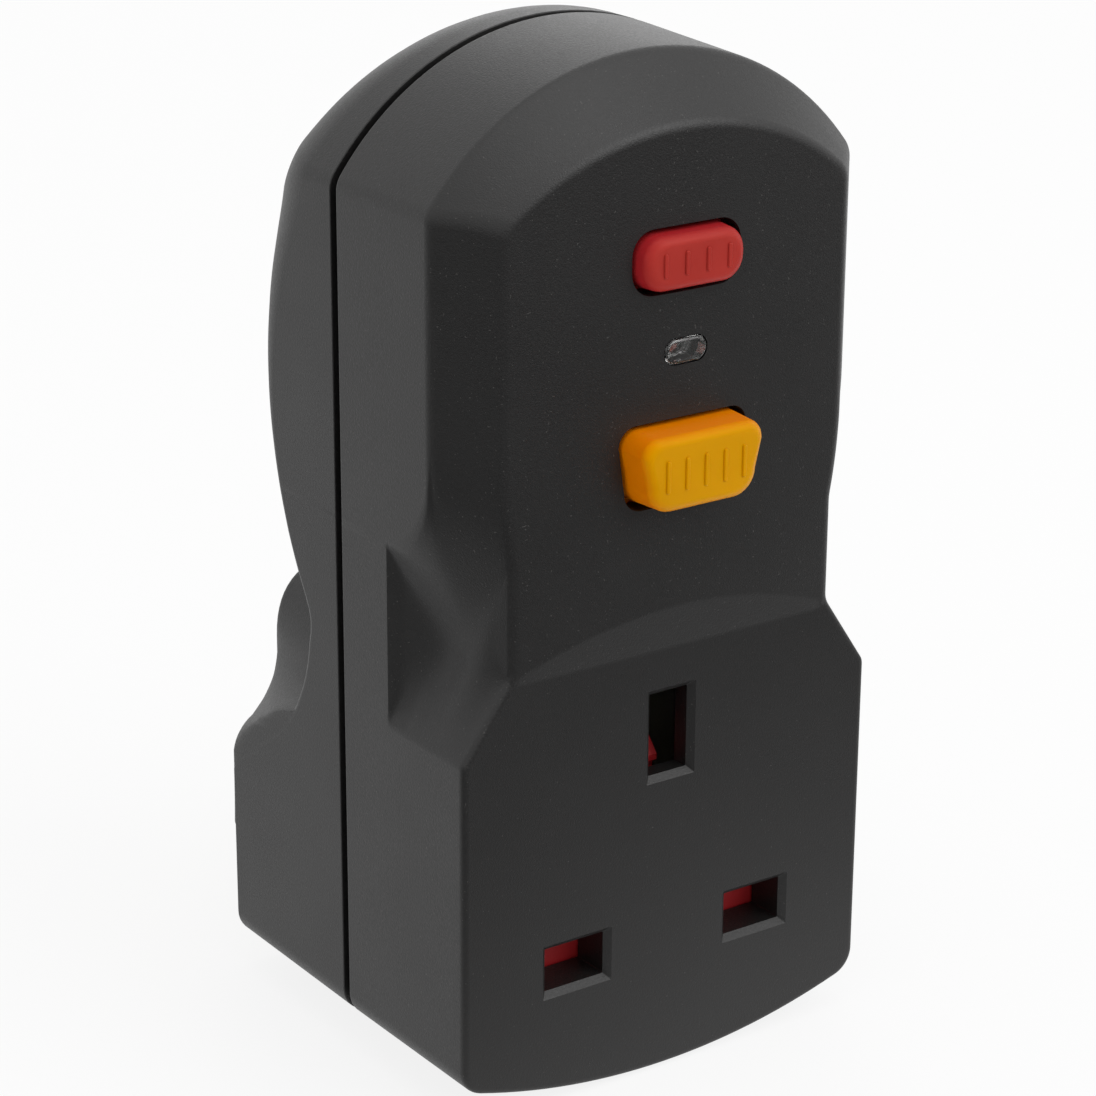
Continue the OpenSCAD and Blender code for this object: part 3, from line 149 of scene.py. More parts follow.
def waist_curve(low, high, neck, inset, flare):
    notch = high - neck
    high_y = high_shoulder_y + high_creep * inset
    a = Vector((low, low_shoulder_y - low_creep * inset))
    b = Vector((neck, a.y + (low - neck) * low_slope + waist_step))
    c = Vector((neck, high_y - notch * high_slope - waist_step / 2 + neck_lift * flare))
    d = Vector((high, high_y + shoulder_lift * flare))
    up, up_low, up_high = Vector((0, 1)), (b - a).normalized(), (d - c).normalized()
    low_ease = soft_ease + low_ease_share * notch
    neck_ease = tight_ease + neck_ease_share * notch
    high_ease = tight_ease + high_ease_share * notch + flare_ease * flare
    high_ease = min(high_ease, (d - c).length - neck_ease - ease_gap)
    return (
        blend(a - soft_ease * up, a, a + soft_ease * up_low, 5)
        + blend(b - low_ease * up_low, b, b + low_ease * up, 5)
        + blend(c - neck_ease * up, c, c + neck_ease * up_high, 7)
        + blend(d - high_ease * up_high, d, d + high_ease * up, 12)
    )


def arch_curve(high, r, y, inset, soft):
    corner_r = max(arch_corner - inset, least_corner) + soft
    corner_x = high - corner_r
    corner_y = y + sqrt((r - corner_r) ** 2 - corner_x * corner_x)
    turn = atan2(corner_y - y, corner_x)
    return arc(corner_x, corner_y, corner_r, 0, turn, 9) + arc(0, y, r, turn, pi / 2, 22)[1:]


# One outline serves both shells: foot, waist and arch. In the rear shell the waist is straight,
# and a shell's inside is the same outline, inset by its wall.
def outline(low, high, neck, r, y, inset, flare=0.0, soft=0.0):
    low, high, neck, r = low - inset, high - inset, neck - inset, r - inset
    return mirrored(
        foot_curve(low, inset)
        + waist_curve(low, high, neck, inset, flare)
        + arch_curve(high, r, y, inset, soft)
    )


def plain_outline(inset, soft=0.0):
    return outline(half_w, half_w, half_w, arch_r, arch_y, inset, soft=soft)


def at_depth(ring, z):
    return [Vector((p.x, p.y, z)) for p in ring]


def grow(bm, rim, points):
    edges = [bm.edges.get(pair) for pair in zip(rim, rim[1:] + rim[:1])]
    made = bmesh.ops.extrude_edge_only(bm, edges=edges)["geom"]
    fresh = {v for v in made if isinstance(v, bmesh.types.BMVert)}
    ring = []
    for v, p in zip(rim, points):
        new = next(e.other_vert(v) for e in v.link_edges if e.other_vert(v) in fresh)
        new.co = p
        ring.append(new)
    return ring


def open_loft(bm, rings):
    rim = [bm.verts.new(p) for p in rings[0]]
    bm.faces.new(rim)
    for points in rings[1:]:
        rim = grow(bm, rim, points)
    return rim


def loft(bm, rings):
    bm.faces.new(open_loft(bm, rings))


def box_between(bm, low, high):
    low, high = Vector(low), Vector(high)
    place = Matrix.Translation((low + high) / 2) @ Matrix.Diagonal((*(high - low), 1))
    bmesh.ops.create_cube(bm, size=1, matrix=place)


def rod(bm, x, y, d, z0, z1):
    bmesh.ops.create_cone(
        bm, cap_ends=True, segments=32, radius1=d / 2, radius2=d / 2, depth=z1 - z0,
        matrix=Matrix.Translation((x, y, (z0 + z1) / 2)),
    )


def as_object(bm, name):
    bmesh.ops.triangulate(bm, faces=[f for f in bm.faces if len(f.verts) > 4])
    bmesh.ops.recalc_face_normals(bm, faces=bm.faces)
    mesh = bpy.data.meshes.new(name)
    bm.to_mesh(mesh)
    bm.free()
    piece = bpy.data.objects.new(name, mesh)
    bpy.context.scene.collection.objects.link(piece)
    return piece


def bake(piece):
    evaluated = piece.evaluated_get(bpy.context.evaluated_depsgraph_get())
    mesh = bpy.data.meshes.new_from_object(evaluated)
    piece.modifiers.clear()
    piece.data = mesh
    mesh.name = piece.name


def carve(piece, tool, operation="DIFFERENCE"):
    cut = piece.modifiers.new("carve", "BOOLEAN")
    cut.object, cut.operation, cut.solver = tool, operation, "MANIFOLD"
    bake(piece)
    bpy.data.objects.remove(tool)


def finish_mesh(piece, sharp_angle=radians(34)):
    bm = bmesh.new()
    bm.from_mesh(piece.data)
    bm.verts.sort(key=lambda v: v.co.dot(weld_line))
    bmesh.ops.remove_doubles(bm, verts=bm.verts, dist=weld)
    bmesh.ops.dissolve_degenerate(bm, edges=bm.edges, dist=weld)
    for face in bm.faces:
        face.smooth, face.material_index = True, 0
    for edge in bm.edges:
        edge.smooth = edge.is_manifold and edge.calc_face_angle(0) < sharp_angle
    bmesh.ops.transform(bm, matrix=STAND_UP, verts=bm.verts)
    bm.to_mesh(piece.data)
    bm.free()
    piece.data.materials.clear()
    level = piece.modifiers.new("even_normals", "WEIGHTED_NORMAL")
    level.keep_sharp = True
    bake(piece)


def inward(ring):
    after = ring[1:] + ring[:1]
    before = ring[-1:] + ring[:-1]
    runs = [(b.xy - a.xy).normalized() for a, b in zip(before, after)]
    return [Vector((-run.y, run.x)) for run in runs]


# The hollow's profile gives its depth for each height: a soft shoulder below, a bend, and a
# floor that leans on upwards under the rounded back.
def grip_profile(inset, depth):
    shoulder = blend(
        (shoulder_low_y, depth), (scoop_turn_y, inset), (scoop_low_y, scoop_low_d + inset), 8)
    bend = blend(
        (scoop_bend_y - inset / 2, scoop_bend_d + inset),
        (scoop_floor_y - inset / 2, grip_d - grip_floor_rise + inset),
        (scoop_end_y, grip_d + inset), 12,
    )
    lean = Vector((grip_far_y, grip_d + grip_far_rise + inset))
    return [Vector((-beyond, depth)), *shoulder, *bend, lean]


def along(profile, y):
    for a, b in zip(profile, profile[1:]):
        if y <= b.x:
            return a.y + (b.y - a.y) * (y - a.x) / (b.x - a.x)
    return profile[-1].y


# The plug block's flank is an S from the shell's side to the block's own width, and it slants
# out and up as it gets deeper.
def plug_ring(inset, profile, z):
    w, top, wide = plug_half_w - inset, plug_top_y - inset, half_w - sliver - inset
    side = (
        [Vector((wide, plug_foot_y)), Vector((wide, flank_y))]
        + blend((wide, flank_y + 1.6), (wide - 0.4, flank_y + 4), (w + 3, flank_y + 5.2), 8)
        + blend((w + 2.2, flank_y + 6.1), (w + 0.4, flank_y + 8), (w, flank_y + 11.5), 10)
        + blend((w, top - plug_corner), (w, top), (w - plug_corner, top), 14)
    )
    for p in side:
        slant = plug_slant * clamp((plug_slant_y - p.y) / plug_slant_run) ** 2
        p.x += min(slant, (wide - p.x) / max(along(profile, p.y), flank_least_d)) * z
        p.x = min(p.x, wide)
        fade = clamp((shoulder_high_y - p.y) / plug_rise_run)
        p.y += plug_rise * fade * clamp((p.y - flank_y) / plug_rise_start) * z
    return mirrored([Vector((0, plug_foot_y)), *side, Vector((0, top))])


def corner_fill(a, b, reach):
    near = max(reach - abs(a - b), 0) / reach
    return near * near * reach / 4


def back_depth(x, y, inset, profile):
    reach = max((belly_r - inset) ** 2 - x * x - (y - belly_y) ** 2, 0)
    belly = belly_gap + belly_r - sqrt(reach)
    hollow = along(profile, y)
    return max(min(belly, hollow) - corner_fill(belly, hollow, belly_fillet), profile[0].y)


def slice_across(bm, faces, cuts):
    geom = list({g for f in faces for g in (*f.verts, *f.edges, f)})
    for place, normal in cuts:
        geom = bmesh.ops.bisect_plane(
            bm, geom=geom, dist=cut_snap, plane_co=place, plane_no=normal)["geom"]
    return {v for f in geom if isinstance(f, bmesh.types.BMFace) for v in f.verts}


def edge_depth(y):
    sweep = edge_mid_z + (max(y, edge_low_y) - edge_mid_y) ** 2 / (2 * edge_sweep_r)
    roof = edge_top_z + max(y - edge_mid_y - edge_roof_up, 0) / edge_roof_run
    foot = edge_foot_slope * max(edge_low_y - y, 0)
    return min(sweep, roof) - corner_fill(sweep, roof, edge_blend) - foot


def edge_radius(y):
    up = max(y - edge_mid_y + edge_swell_start, 0)
    return min(edge_low_r + edge_swell * up + edge_swell_gain * up * up, edge_high_r)


# The rear edge is an arc that runs out into a straight slope after a turn of 60 degrees.
def edge_fall(step, r):
    if step < r / 2:
        return sqrt(step * (2 * r - step))
    return r * sin(pi / 3) + (step - r / 2) * tan(pi / 6)


def rear_depth(x, y, step, inset, profile):
    back = back_depth(x, y, inset, profile)
    fade = (y - shoulder_low_y) / (shoulder_y - shoulder_low_y)
    if y > shoulder_y:
        fade = (shoulder_high_y - y) / (shoulder_high_y - shoulder_y)
    crisp = plug_edge_r + (crisp_r - plug_edge_r) * clamp((y - shoulder_y) / crisp_run)
    r = crisp + (shoulder_r - crisp) * clamp(fade) ** 1.5
    if step < r:
        back += r - sqrt(step * (2 * r - step))
    edge = edge_depth(y) - edge_fall(step, max(edge_radius(y) - inset, edge_least_r))
    return max(back, edge) + corner_fill(back, edge, edge_fillet)


def rear_ring(inset, step=0.0):
    whole = plain_outline(0)
    room = half_w - inset - step - arch_corner - arch_flat
    ring = plain_outline(inset + step, min(step * arch_soft_gain, arch_soft_r, room))
    fuller = []
    for i, (a, b) in enumerate(zip(whole, whole[1:] + whole[:1])):
        n = max(1, round((b - a).length / ring_pitch))
        fuller += [ring[i].lerp(ring[(i + 1) % len(ring)], k / n) for k in range(n)]
    return fuller


def rear_form(name, inset, depth, z_end, grid):
    profile = grip_profile(inset, depth)
    rim, steps = [(0, 0)], inner_steps
    if not inset:
        rim = [(0, ledge_inset), (ledge_drop, ledge_inset)]
        rim += [(ledge_drop + drop, back) for drop, back in rounded_edge(rim_r, rim_r, 5)]
        steps = outer_steps
    rings = [at_depth(rear_ring(inset + back), z_end - drop) for drop, back in rim]
    rings += [
        [Vector((*p, rear_depth(*p, step, inset, profile))) for p in rear_ring(inset, step)]
        for step in steps
    ]
    bm = bmesh.new()
    back = bm.faces.new(open_loft(bm, rings))
    cuts = [((x, 0, 0), (1, 0, 0)) for x in grid_columns[::grid]]
    cuts += [((0, y, 0), (0, 1, 0)) for y in grid_rows[::grid]]
    cuts += [((0, y / 2, 0), (0, 1, 0)) for y in grid_half_rows[::grid]]
    for v in slice_across(bm, [back], cuts):
        v.co.z = rear_depth(v.co.x, v.co.y, steps[-1], inset, profile)
    body = as_object(bm, name)
    bm = bmesh.new()
    ring = plug_ring(inset, profile, 0)
    lean = inward(at_depth(ring, 0))
    levels = [
        [Vector((*(p + back * n), depth + rise + sliver)) for p, n in zip(ring, lean)]
        for rise, back in rounded_edge(plug_edge_r, plug_edge_r, 5)
    ]
    levels += [at_depth(plug_ring(inset, profile, z), depth + z) for z in plug_levels]
    loft(bm, levels)
    carve(body, as_object(bm, "plug_block"), "UNION")
    return body


rear_shell = rear_form("rear_shell", 0, 0, parting_z - groove_w / 2, outer_grid)
carve(rear_shell, rear_form("rear_cavity", wall, plug_skin, parting_z + through, inner_grid))

# Inside the rear shell are the screw posts, the posts for the board and the lip that
# enters the front shell. They are moulded on, and the screw pockets, the pilot holes and
# the holes for the pins are cored through it.
screw_places = [(17.1, 72.0, 17.2), (19.4, -4.6, 14.2)]
screw_d, pocket_d, boss_wall = 2.9, 6.1, 1.15
post_h, post_reach = 2.5, 30
lip_t, lip_h, lip_root, fit = 1.05, 2.1, 3, 0.05
lip_chamfer_h, lip_chamfer_w = 0.3, 0.2
board_posts = [(18.6, 45.0, 8.5), (10.0, 79.0, 8.8)]
board_z, post_r = 28.0, 1.9
board_pilot_d, board_pilot_low, board_pilot_high = 1.9, 7, 10
pilot_d, pilot_back = screw_d + 2 * fit, 2
pole_x, earth_y = 11.115, 22.23
pin_hole_t, pole_hole_w, earth_hole_w, pin_hole_end = 4.1, 6.45, 8.1, 6


def at_screws(bm, d, below, above):
    for x, y, z in screw_places:
        for side in (-1, 1):
            rod(bm, side * x, y, d, z - below, z + above)


bm = bmesh.new()
at_screws(bm, pocket_d + 2 * boss_wall, post_reach, post_h)
posts = as_object(bm, "screw_posts")
mid_wall = rear_form("mid_wall", wall / 2, plug_skin / 2, parting_z + through, inner_grid)
carve(posts, mid_wall, "INTERSECT")
carve(rear_shell, posts, "UNION")

bm = bmesh.new()
lip_outer, lip_inner = plain_outline(wall - lip_t), plain_outline(wall + sliver)
lip_back, lip_front = parting_z - lip_root, parting_z + lip_h - fit
loft(bm, [
    at_depth(lip_outer, lip_back), at_depth(lip_outer, lip_front - lip_chamfer_h),
    at_depth(plain_outline(wall - lip_t + lip_chamfer_w), lip_front),
])
lip = as_object(bm, "lip")
bm = bmesh.new()
loft(bm, [at_depth(lip_inner, lip_back - through), at_depth(lip_inner, lip_front + through)])
carve(lip, as_object(bm, "lip_bore"))
carve(rear_shell, lip, "UNION")

bm = bmesh.new()
for x, y, z in board_posts:
    for side in (-1, 1):
        rod(bm, side * x, y, 2 * post_r, z, board_z)
carve(rear_shell, as_object(bm, "board_posts"), "UNION")

bm = bmesh.new()
at_screws(bm, pocket_d, beyond, 0)
carve(rear_shell, as_object(bm, "screw_pockets"))
bm = bmesh.new()
at_screws(bm, pilot_d, pilot_back, beyond)
board_screw_x, board_screw_y = board_posts[0][:2]
for side in (-1, 1):
    rod(bm, side * board_screw_x, board_screw_y, board_pilot_d,
        board_z - board_pilot_low, board_z + board_pilot_high)
    x = side * pole_x
    box_between(bm, (x - pole_hole_w / 2, -pin_hole_t / 2, -through),
                (x + pole_hole_w / 2, pin_hole_t / 2, pin_hole_end))
box_between(bm, (-pin_hole_t / 2, earth_y - earth_hole_w / 2, -through),
            (pin_hole_t / 2, earth_y + earth_hole_w / 2, pin_hole_end))
carve(rear_shell, as_object(bm, "pin_holes"))
finish_mesh(rear_shell)


# The black plastic of both shells has the fine even grain of a spark-eroded mould, a
# slightly cloudy sheen, and light dust specks caught in the grain.
class Wire:
    def __init__(self, socket):
        self.socket, self.tree = socket, socket.id_data

    def node(self, kind, settings, sockets, output=0):
        made = self.tree.nodes.new(kind)
        for name, value in settings.items():
            setattr(made, name, value)
        for name, value in sockets.items():
            if isinstance(value, Wire):
                self.tree.links.new(value.socket, made.inputs[name])
            else:
                made.inputs[name].default_value = value
        return Wire(made.outputs[output])

    def math(self, operation, first, second=0.0):
        return self.node("ShaderNodeMath", {"operation": operation}, {0: first, 1: second})

    def __add__(self, other):
        return self.math("ADD", self, other)

    def __sub__(self, other):
        return self.math("SUBTRACT", self, other)

    def __rsub__(self, other):
        return self.math("SUBTRACT", other, self)

    def __mul__(self, other):
        return self.math("MULTIPLY", self, other)

    __radd__, __rmul__ = __add__, __mul__


def new_finish(name, **constants):
    material = bpy.data.materials.new(name)
    material.use_nodes = True
    shader = material.node_tree.nodes["Principled BSDF"]
    for socket, value in constants.items():
        shader.inputs[socket.replace("_", " ")].default_value = value
    place = material.node_tree.nodes.new("ShaderNodeTexCoord").outputs["Object"]
    return material, shader, Wire(place)


def feed(shader, **wires):
    for socket, wire in wires.items():
        wire.tree.links.new(wire.socket, shader.inputs[socket.replace("_", " ")])


def colour(code):
    parts = [int(code[i:i + 2], 16) / 255 for i in (1, 3, 5)]
    return (*[c / 12.92 if c <= 0.04045 else ((c + 0.055) / 1.055) ** 2.4 for c in parts], 1)


def noise(place, scale, detail=2.0):
    return place.node("ShaderNodeTexNoise", {}, {"Vector": place, "Scale": scale, "Detail": detail})


def ramp(value, low, high, to_low=0.0, to_high=1.0):
    return value.node("ShaderNodeMapRange", {}, {0: value, 1: low, 2: high, 3: to_low, 4: to_high})


def mix(factor, a, b):
    return factor.node("ShaderNodeMix", {"data_type": "RGBA"}, {0: factor, 6: a, 7: b}, 2)


def bump(height, distance, strength=1.0):
    sockets = {"Height": height, "Distance": distance, "Strength": strength}
    return height.node("ShaderNodeBump", {}, sockets)


def black_plastic():
    material, shader, place = new_finish("black_plastic", Specular_IOR_Level=0.5)
    grain = noise(place, 8000, 1.0)
    pits = noise(place, 4200, 1.0)
    cloud = noise(place, 90, 3.0)
    dust = ramp(noise(place, 5000, 0.0), 0.79, 0.83)
    base = mix(cloud, colour("#0e0d0d"), colour("#131212"))
    base = mix(ramp(grain, 0.42, 0.72) * 0.5, base, colour("#1c1b1a"))
    feed(
        shader,
        Base_Color=mix(dust * 0.15, base, colour("#8a8884")),
        Roughness=ramp(pits, 0.3, 0.7, 0.42, 0.5) + (cloud - 0.5) * 0.08,
        Normal=bump(grain + pits * 0.8, 0.00003, 0.8),
    )
    return material


shell_black = black_plastic()
rear_shell.data.materials.append(shell_black)
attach(rear_shell, "housing")
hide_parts("rear_cover")


def paint(material, *names):
    for name in names:
        mesh = nodes[name].data
        mesh.materials.clear()
        mesh.materials.append(material)


def drawn_metal(name, light, dark, axis, roughness):
    material, shader, place = new_finish(name, Metallic=1.0)
    stretch = [1.0, 1.0, 1.0]
    stretch[axis] = 0.04
    lines = noise(place.node("ShaderNodeMapping", {}, {"Vector": place, "Scale": stretch}), 5000)
    stain = noise(place, 260, 4.0)
    feed(
        shader,
        Base_Color=mix(ramp(stain, 0.35, 0.7), colour(light), colour(dark)),
        Roughness=ramp(lines, 0.3, 0.7, roughness - 0.06, roughness + 0.1) + (stain - 0.5) * 0.12,
        Normal=bump(lines, 0.000012, 0.5),
    )
    return material


def moulded_plastic(name, code, shade, roughness, depth):
    material, shader, place = new_finish(name)
    grain = noise(place, 3600, 1.0)
    flow = noise(place, 160, 3.0)
    feed(
        shader,
        Base_Color=mix(ramp(flow, 0.3, 0.75), colour(code), colour(shade)),
        Roughness=ramp(grain, 0.3, 0.7, roughness - 0.05, roughness + 0.05) + (flow - 0.5) * 0.1,
        Normal=bump(grain, depth, 0.6),
    )
    return material


pin_brass = drawn_metal("pin_brass", "#d8bd74", "#c3a258", 1, 0.3)
paint(pin_brass, "earth_pin", "line_pin", "neutral_pin")
paint(moulded_plastic("sleeve_black", "#1b1b1d", "#232325", 0.42, 0.000008), "pin_sleeves")

# Feed bars, socket base and contacts: a cream moulded base carries three brass spring
# clips for the appliance plug, and brass strips behind it run from the pins to the board.
strip_brass = drawn_metal("strip_brass", "#d4a752", "#bd8d3e", 2, 0.34)
clip_brass = drawn_metal("clip_brass", "#d9b05a", "#c59a45", 1, 0.28)
base_cream = moulded_plastic("base_cream", "#d9d4c6", "#cdc7b6", 0.5, 0.00001)
paint(strip_brass, "line_feed_bar", "neutral_feed_bar")
paint(base_cream, "socket_base")
paint(clip_brass, "earth_contact", "line_contact", "neutral_contact")

# Shutter: a red moulded plate that closes the line and neutral slots until the earth pin
# of a plug pushes its ramp down. A small steel spring lifts it again.
shutter_red = moulded_plastic("shutter_red", "#b02428", "#a01e23", 0.38, 0.000006)
spring_steel = drawn_metal("spring_steel", "#b4b8bd", "#979ba1", 2, 0.26)
paint(shutter_red, "shutter")
paint(spring_steel, "shutter_spring", "reset_spring", "test_spring", "plunger_spring")


# Circuit board: green lacquered glass laminate with copper tracks under the lacquer, held
# by two screws. The sensing transformer, a wound ring core, sits in its bay.
def board_lacquer():
    material, shader, place = new_finish("board_lacquer", Coat_Roughness=0.15)
    split = place.node("ShaderNodeSeparateXYZ", {}, {"Vector": place})
    high = Wire(split.socket.node.outputs["Z"])
    across = split.math("SINE", split * 2900)
    down = high.math("SINE", high * 2500)
    tracks = ramp(across * down + noise(place, 240) * 1.2, 0.75, 0.8)
    weave = noise(place, 1800, 1.0)
    feed(
        shader,
        Base_Color=mix(tracks * 0.7, colour("#2f6b3c"), colour("#3f8a4c")),
        Roughness=ramp(weave, 0.3, 0.7, 0.3, 0.4),
        Coat_Weight=ramp(weave, 0.3, 0.7, 0.25, 0.35),
        Normal=bump(tracks * 0.6 + weave * 0.4, 0.00003, 0.5),
    )
    return material


def wound_wire(name, light, dark, axis, pitch):
    material, shader, place = new_finish(name, Specular_IOR_Level=0.6)
    split = place.node("ShaderNodeSeparateXYZ", {}, {"Vector": place}, "XYZ"[axis])
    # The copper runs from dark between the turns to light on each turn, with some tone at random:
    # painted shade in the gaps and a painted highlight on the crests.
    turns = split.math("SINE", split * (2 * pi / pitch)) * 0.5 + 0.5
    tone = noise(place, 500, 2.0)
    feed(
        shader,
        Base_Color=mix(ramp(turns * 0.7 + tone * 0.5, 0.2, 1.0), colour(dark), colour(light)),
        Roughness=ramp(tone, 0.3, 0.7, 0.28, 0.42),
        Normal=bump(turns, pitch * 0.3, 0.9),
    )
    return material


zinc_steel = drawn_metal("zinc_steel", "#b9bdc2", "#a3a7ad", 0, 0.36)
paint(board_lacquer(), "circuit_board")
paint(zinc_steel, "board_screws", "case_screws")
paint(moulded_plastic("ferrite_grey", "#4a4642", "#3d3a37", 0.6, 0.00002), "sense_core")
paint(wound_wire("winding_copper", "#c87a3c", "#8a4a20", 0, 0.0007), "sense_winding")
paint(moulded_plastic("wire_brown", "#7a4a2c", "#6b3f24", 0.45, 0.000004), "line_load_wire")
paint(moulded_plastic("wire_blue", "#2f5f9e", "#29548c", 0.45, 0.000004), "neutral_load_wire")

# Trip mechanism: a cream frame and carrier guide the reset stem, a steel plate latches it,
# and a small solenoid behind the board pulls the plate away. Brass leaves carry the current.
mechanism_cream = moulded_plastic("mechanism_cream", "#e6e2d6", "#d9d4c5", 0.48, 0.000008)
silver_face = drawn_metal("silver_face", "#cfccc4", "#b5b1a8", 0, 0.3)
paint(mechanism_cream, "mechanism_frame", "contact_carrier", "solenoid_bobbin", "lamp_spacer")
paint(zinc_steel, "latch_plate", "solenoid_yoke", "trip_plunger")
paint(strip_brass, "line_arm", "neutral_arm", "arm_terminals")
paint(silver_face, "fixed_contacts")
paint(wound_wire("coil_copper", "#b9632f", "#7d3d1b", 2, 0.0005), "solenoid_coil")

# Small parts on the board: the test switch, a surge varistor dipped in blue epoxy, a film
# capacitor, the control chip and the test resistor, all soldered by their leads.
paint(moulded_plastic("switch_black", "#3a3a3c", "#303032", 0.42, 0.000008), "test_switch")
paint(moulded_plastic("epoxy_blue", "#3c6fa8", "#346296", 0.3, 0.00003), "varistor")
paint(moulded_plastic("case_ochre", "#b98a2f", "#a87c28", 0.35, 0.000008), "capacitor")
paint(moulded_plastic("chip_black", "#232326", "#2b2b2e", 0.55, 0.00001), "control_chip")
paint(moulded_plastic("lacquer_beige", "#b7a27e", "#a8936f", 0.3, 0.000008), "test_resistor")

# Front shell: the black front half of the housing, moulded in one piece. A sloping band
# leads from the side walls to a domed button panel, and below a notched waist is the flat
# socket face with three slots. Bosses and ribs inside take the screws and guide the shutter.
body_d, crown, ramp_h = 44.0, 1.1, 4.8
crown_z, crown_half = body_d + crown, 20.6
crown_r = (crown_half ** 2 + crown ** 2) / (2 * crown)
panel_half, panel_arch_r, panel_arch_y = 20.0, 28.3, 55.2
bevel_d, bevel_rise, bevel_soft, bevel_rows = 5.4, 0.83, 0.6, (1.3, 2, 2.7)
bevel_z = body_d - bevel_d
side_draft, arch_draft = 0.4, 0.5
front_rim_d, front_rim_w = 0.4, 0.25
notch_z, notch_soft = body_d - 12.8, 0.5
neck_z, neck_soft, neck_gap = body_d - 9.2, 1.6, 0.01
waist_in_x, waist_out_x = panel_half - 0.3, half_w - side_draft - 0.05
waist_low_y, waist_high_y = 26, 50
waist_back_z, waist_front_z = notch_z + 0.5, body_d - 0.35
shrink_low, shrink_high, shrink_back, shrink_front = 0.5, 1.5, 0.3, 0.5
waist_rounds, waist_passes = 4, 16
front_skin, face_edge_r, crease_soft = 2.5, 0.75, 0.5
edge_reach, halvings, column_gap = 2, 40, 0.6
slot_w, slot_h, earth_slot_w, earth_slot_h = 7.05, 4.6, 4.6, 8.7
slot_end_z, slot_corner_r = 37.8, 0.12
slot_lead, slot_splay, slot_over = 0.65, 2.2, 0.1
collar_t, collar_end_z = 1.2, 39.1
guide_x, guide_t, guide_low_y, guide_high_y, guide_end_z = 15.99, 1.2, -8.6, 4, 35.8
core_y, core_top_z, core_rib_w, core_rib_h = 35.6, 40.8, 8, 4
boss_r, pilot_front, skin_reach = 3.0, 17, 8
play, hole_lip, hole_flare, hole_over = 0.3, 0.2, 0.2, 0.05
hole_below, hole_above = 8, 4
test_w, test_h, test_r, test_y = 12.0, 5.7, 2.4, 70.9
reset_w, reset_h, reset_r, reset_tuck, reset_y = 14.5, 7.9, 1.9, 0.7, 51.0
lens_w, lens_h, lens_y = 5.0, 2.6, 61.85


def front_ring(z, neck, t, inset):
    q = max(z - parting_z, 0) / (body_d - parting_z)
    wide = half_w - side_draft * q
    high = wide + (panel_half - wide) * t
    r, y = arch_r + arch_draft * q, arch_y - (2 * arch_draft + side_draft) * q
    r += (panel_arch_r - r) * t * bevel_rise
    y += (panel_arch_y - y) * t * bevel_rise
    climb = clamp((z + inset / 2 - notch_z) / (bevel_z - notch_z))
    flare = 1 - sqrt(1 - climb ** 2)
    return at_depth(outline(wide, high, min(neck, high - neck_gap * t), r, y, inset, flare), z)


def bevel_share(z):
    return (z - bevel_z) / bevel_d


# Each level is a depth, the waist's half width there, and how far the bevel has come.
def front_levels(fine):
    fall = (half_w - neck_half) / (neck_z - notch_z)
    levels = [(*p, 0) for p in blend(
        (notch_z - notch_soft, half_w), (notch_z, half_w),
        (notch_z + notch_soft, half_w - fall * notch_soft), 4)]
    levels += [(*p, 0) for p in blend(
        (neck_z - neck_soft, neck_half + fall * neck_soft), (neck_z, neck_half),
        (neck_z + neck_soft, neck_half), 8)]
    start, end = bevel_z - bevel_soft, bevel_z + bevel_soft
    pitch = (start - neck_z - neck_soft) / 4
    levels += [(neck_z + neck_soft + k * pitch, neck_half, 0) for k in (1, 2, 3)]
    turn = blend((start, 0), (bevel_z, 0), (end, bevel_share(end)), 8)
    levels += [(p.x, neck_half, p.y) for p in turn]
    if fine:
        levels += [(bevel_z + row, neck_half, bevel_share(bevel_z + row)) for row in bevel_rows]
    return levels


def crown_depth(x):
    return crown_z - crown_r + sqrt(crown_r ** 2 - x * x)


def face_depth(x, y, depth):
    if y <= face_top_y:
        return body_d - depth
    slope = body_d + (y - face_top_y) * crown / ramp_h
    return min(slope, crown_depth(x)) - depth


def meet_face(a, b, depth):
    low, high = 0.0, 1.0
    for _ in range(halvings):
        t = (low + high) / 2
        p = a.lerp(b, t)
        low, high = (t, high) if p.z < face_depth(p.x, p.y, depth) else (low, t)
    return a.lerp(b, low)


# The band runs out softly into the notch: each round smooths a smaller part of the waist.
def soften_waist(bm):
    for k in range(waist_rounds):
        low_y, high_y = waist_low_y + shrink_low * k, waist_high_y - shrink_high * k
        back_z, front_z = waist_back_z + shrink_back * k, waist_front_z - shrink_front * k
        verts = [
            v for v in bm.verts
            if low_y < v.co.y < high_y and back_z < v.co.z < front_z
            and waist_in_x < abs(v.co.x) < waist_out_x
        ]
        for _ in range(waist_passes):
            bmesh.ops.smooth_vert(
                bm, verts=verts, factor=0.5, use_axis_x=True, use_axis_y=True, use_axis_z=True)


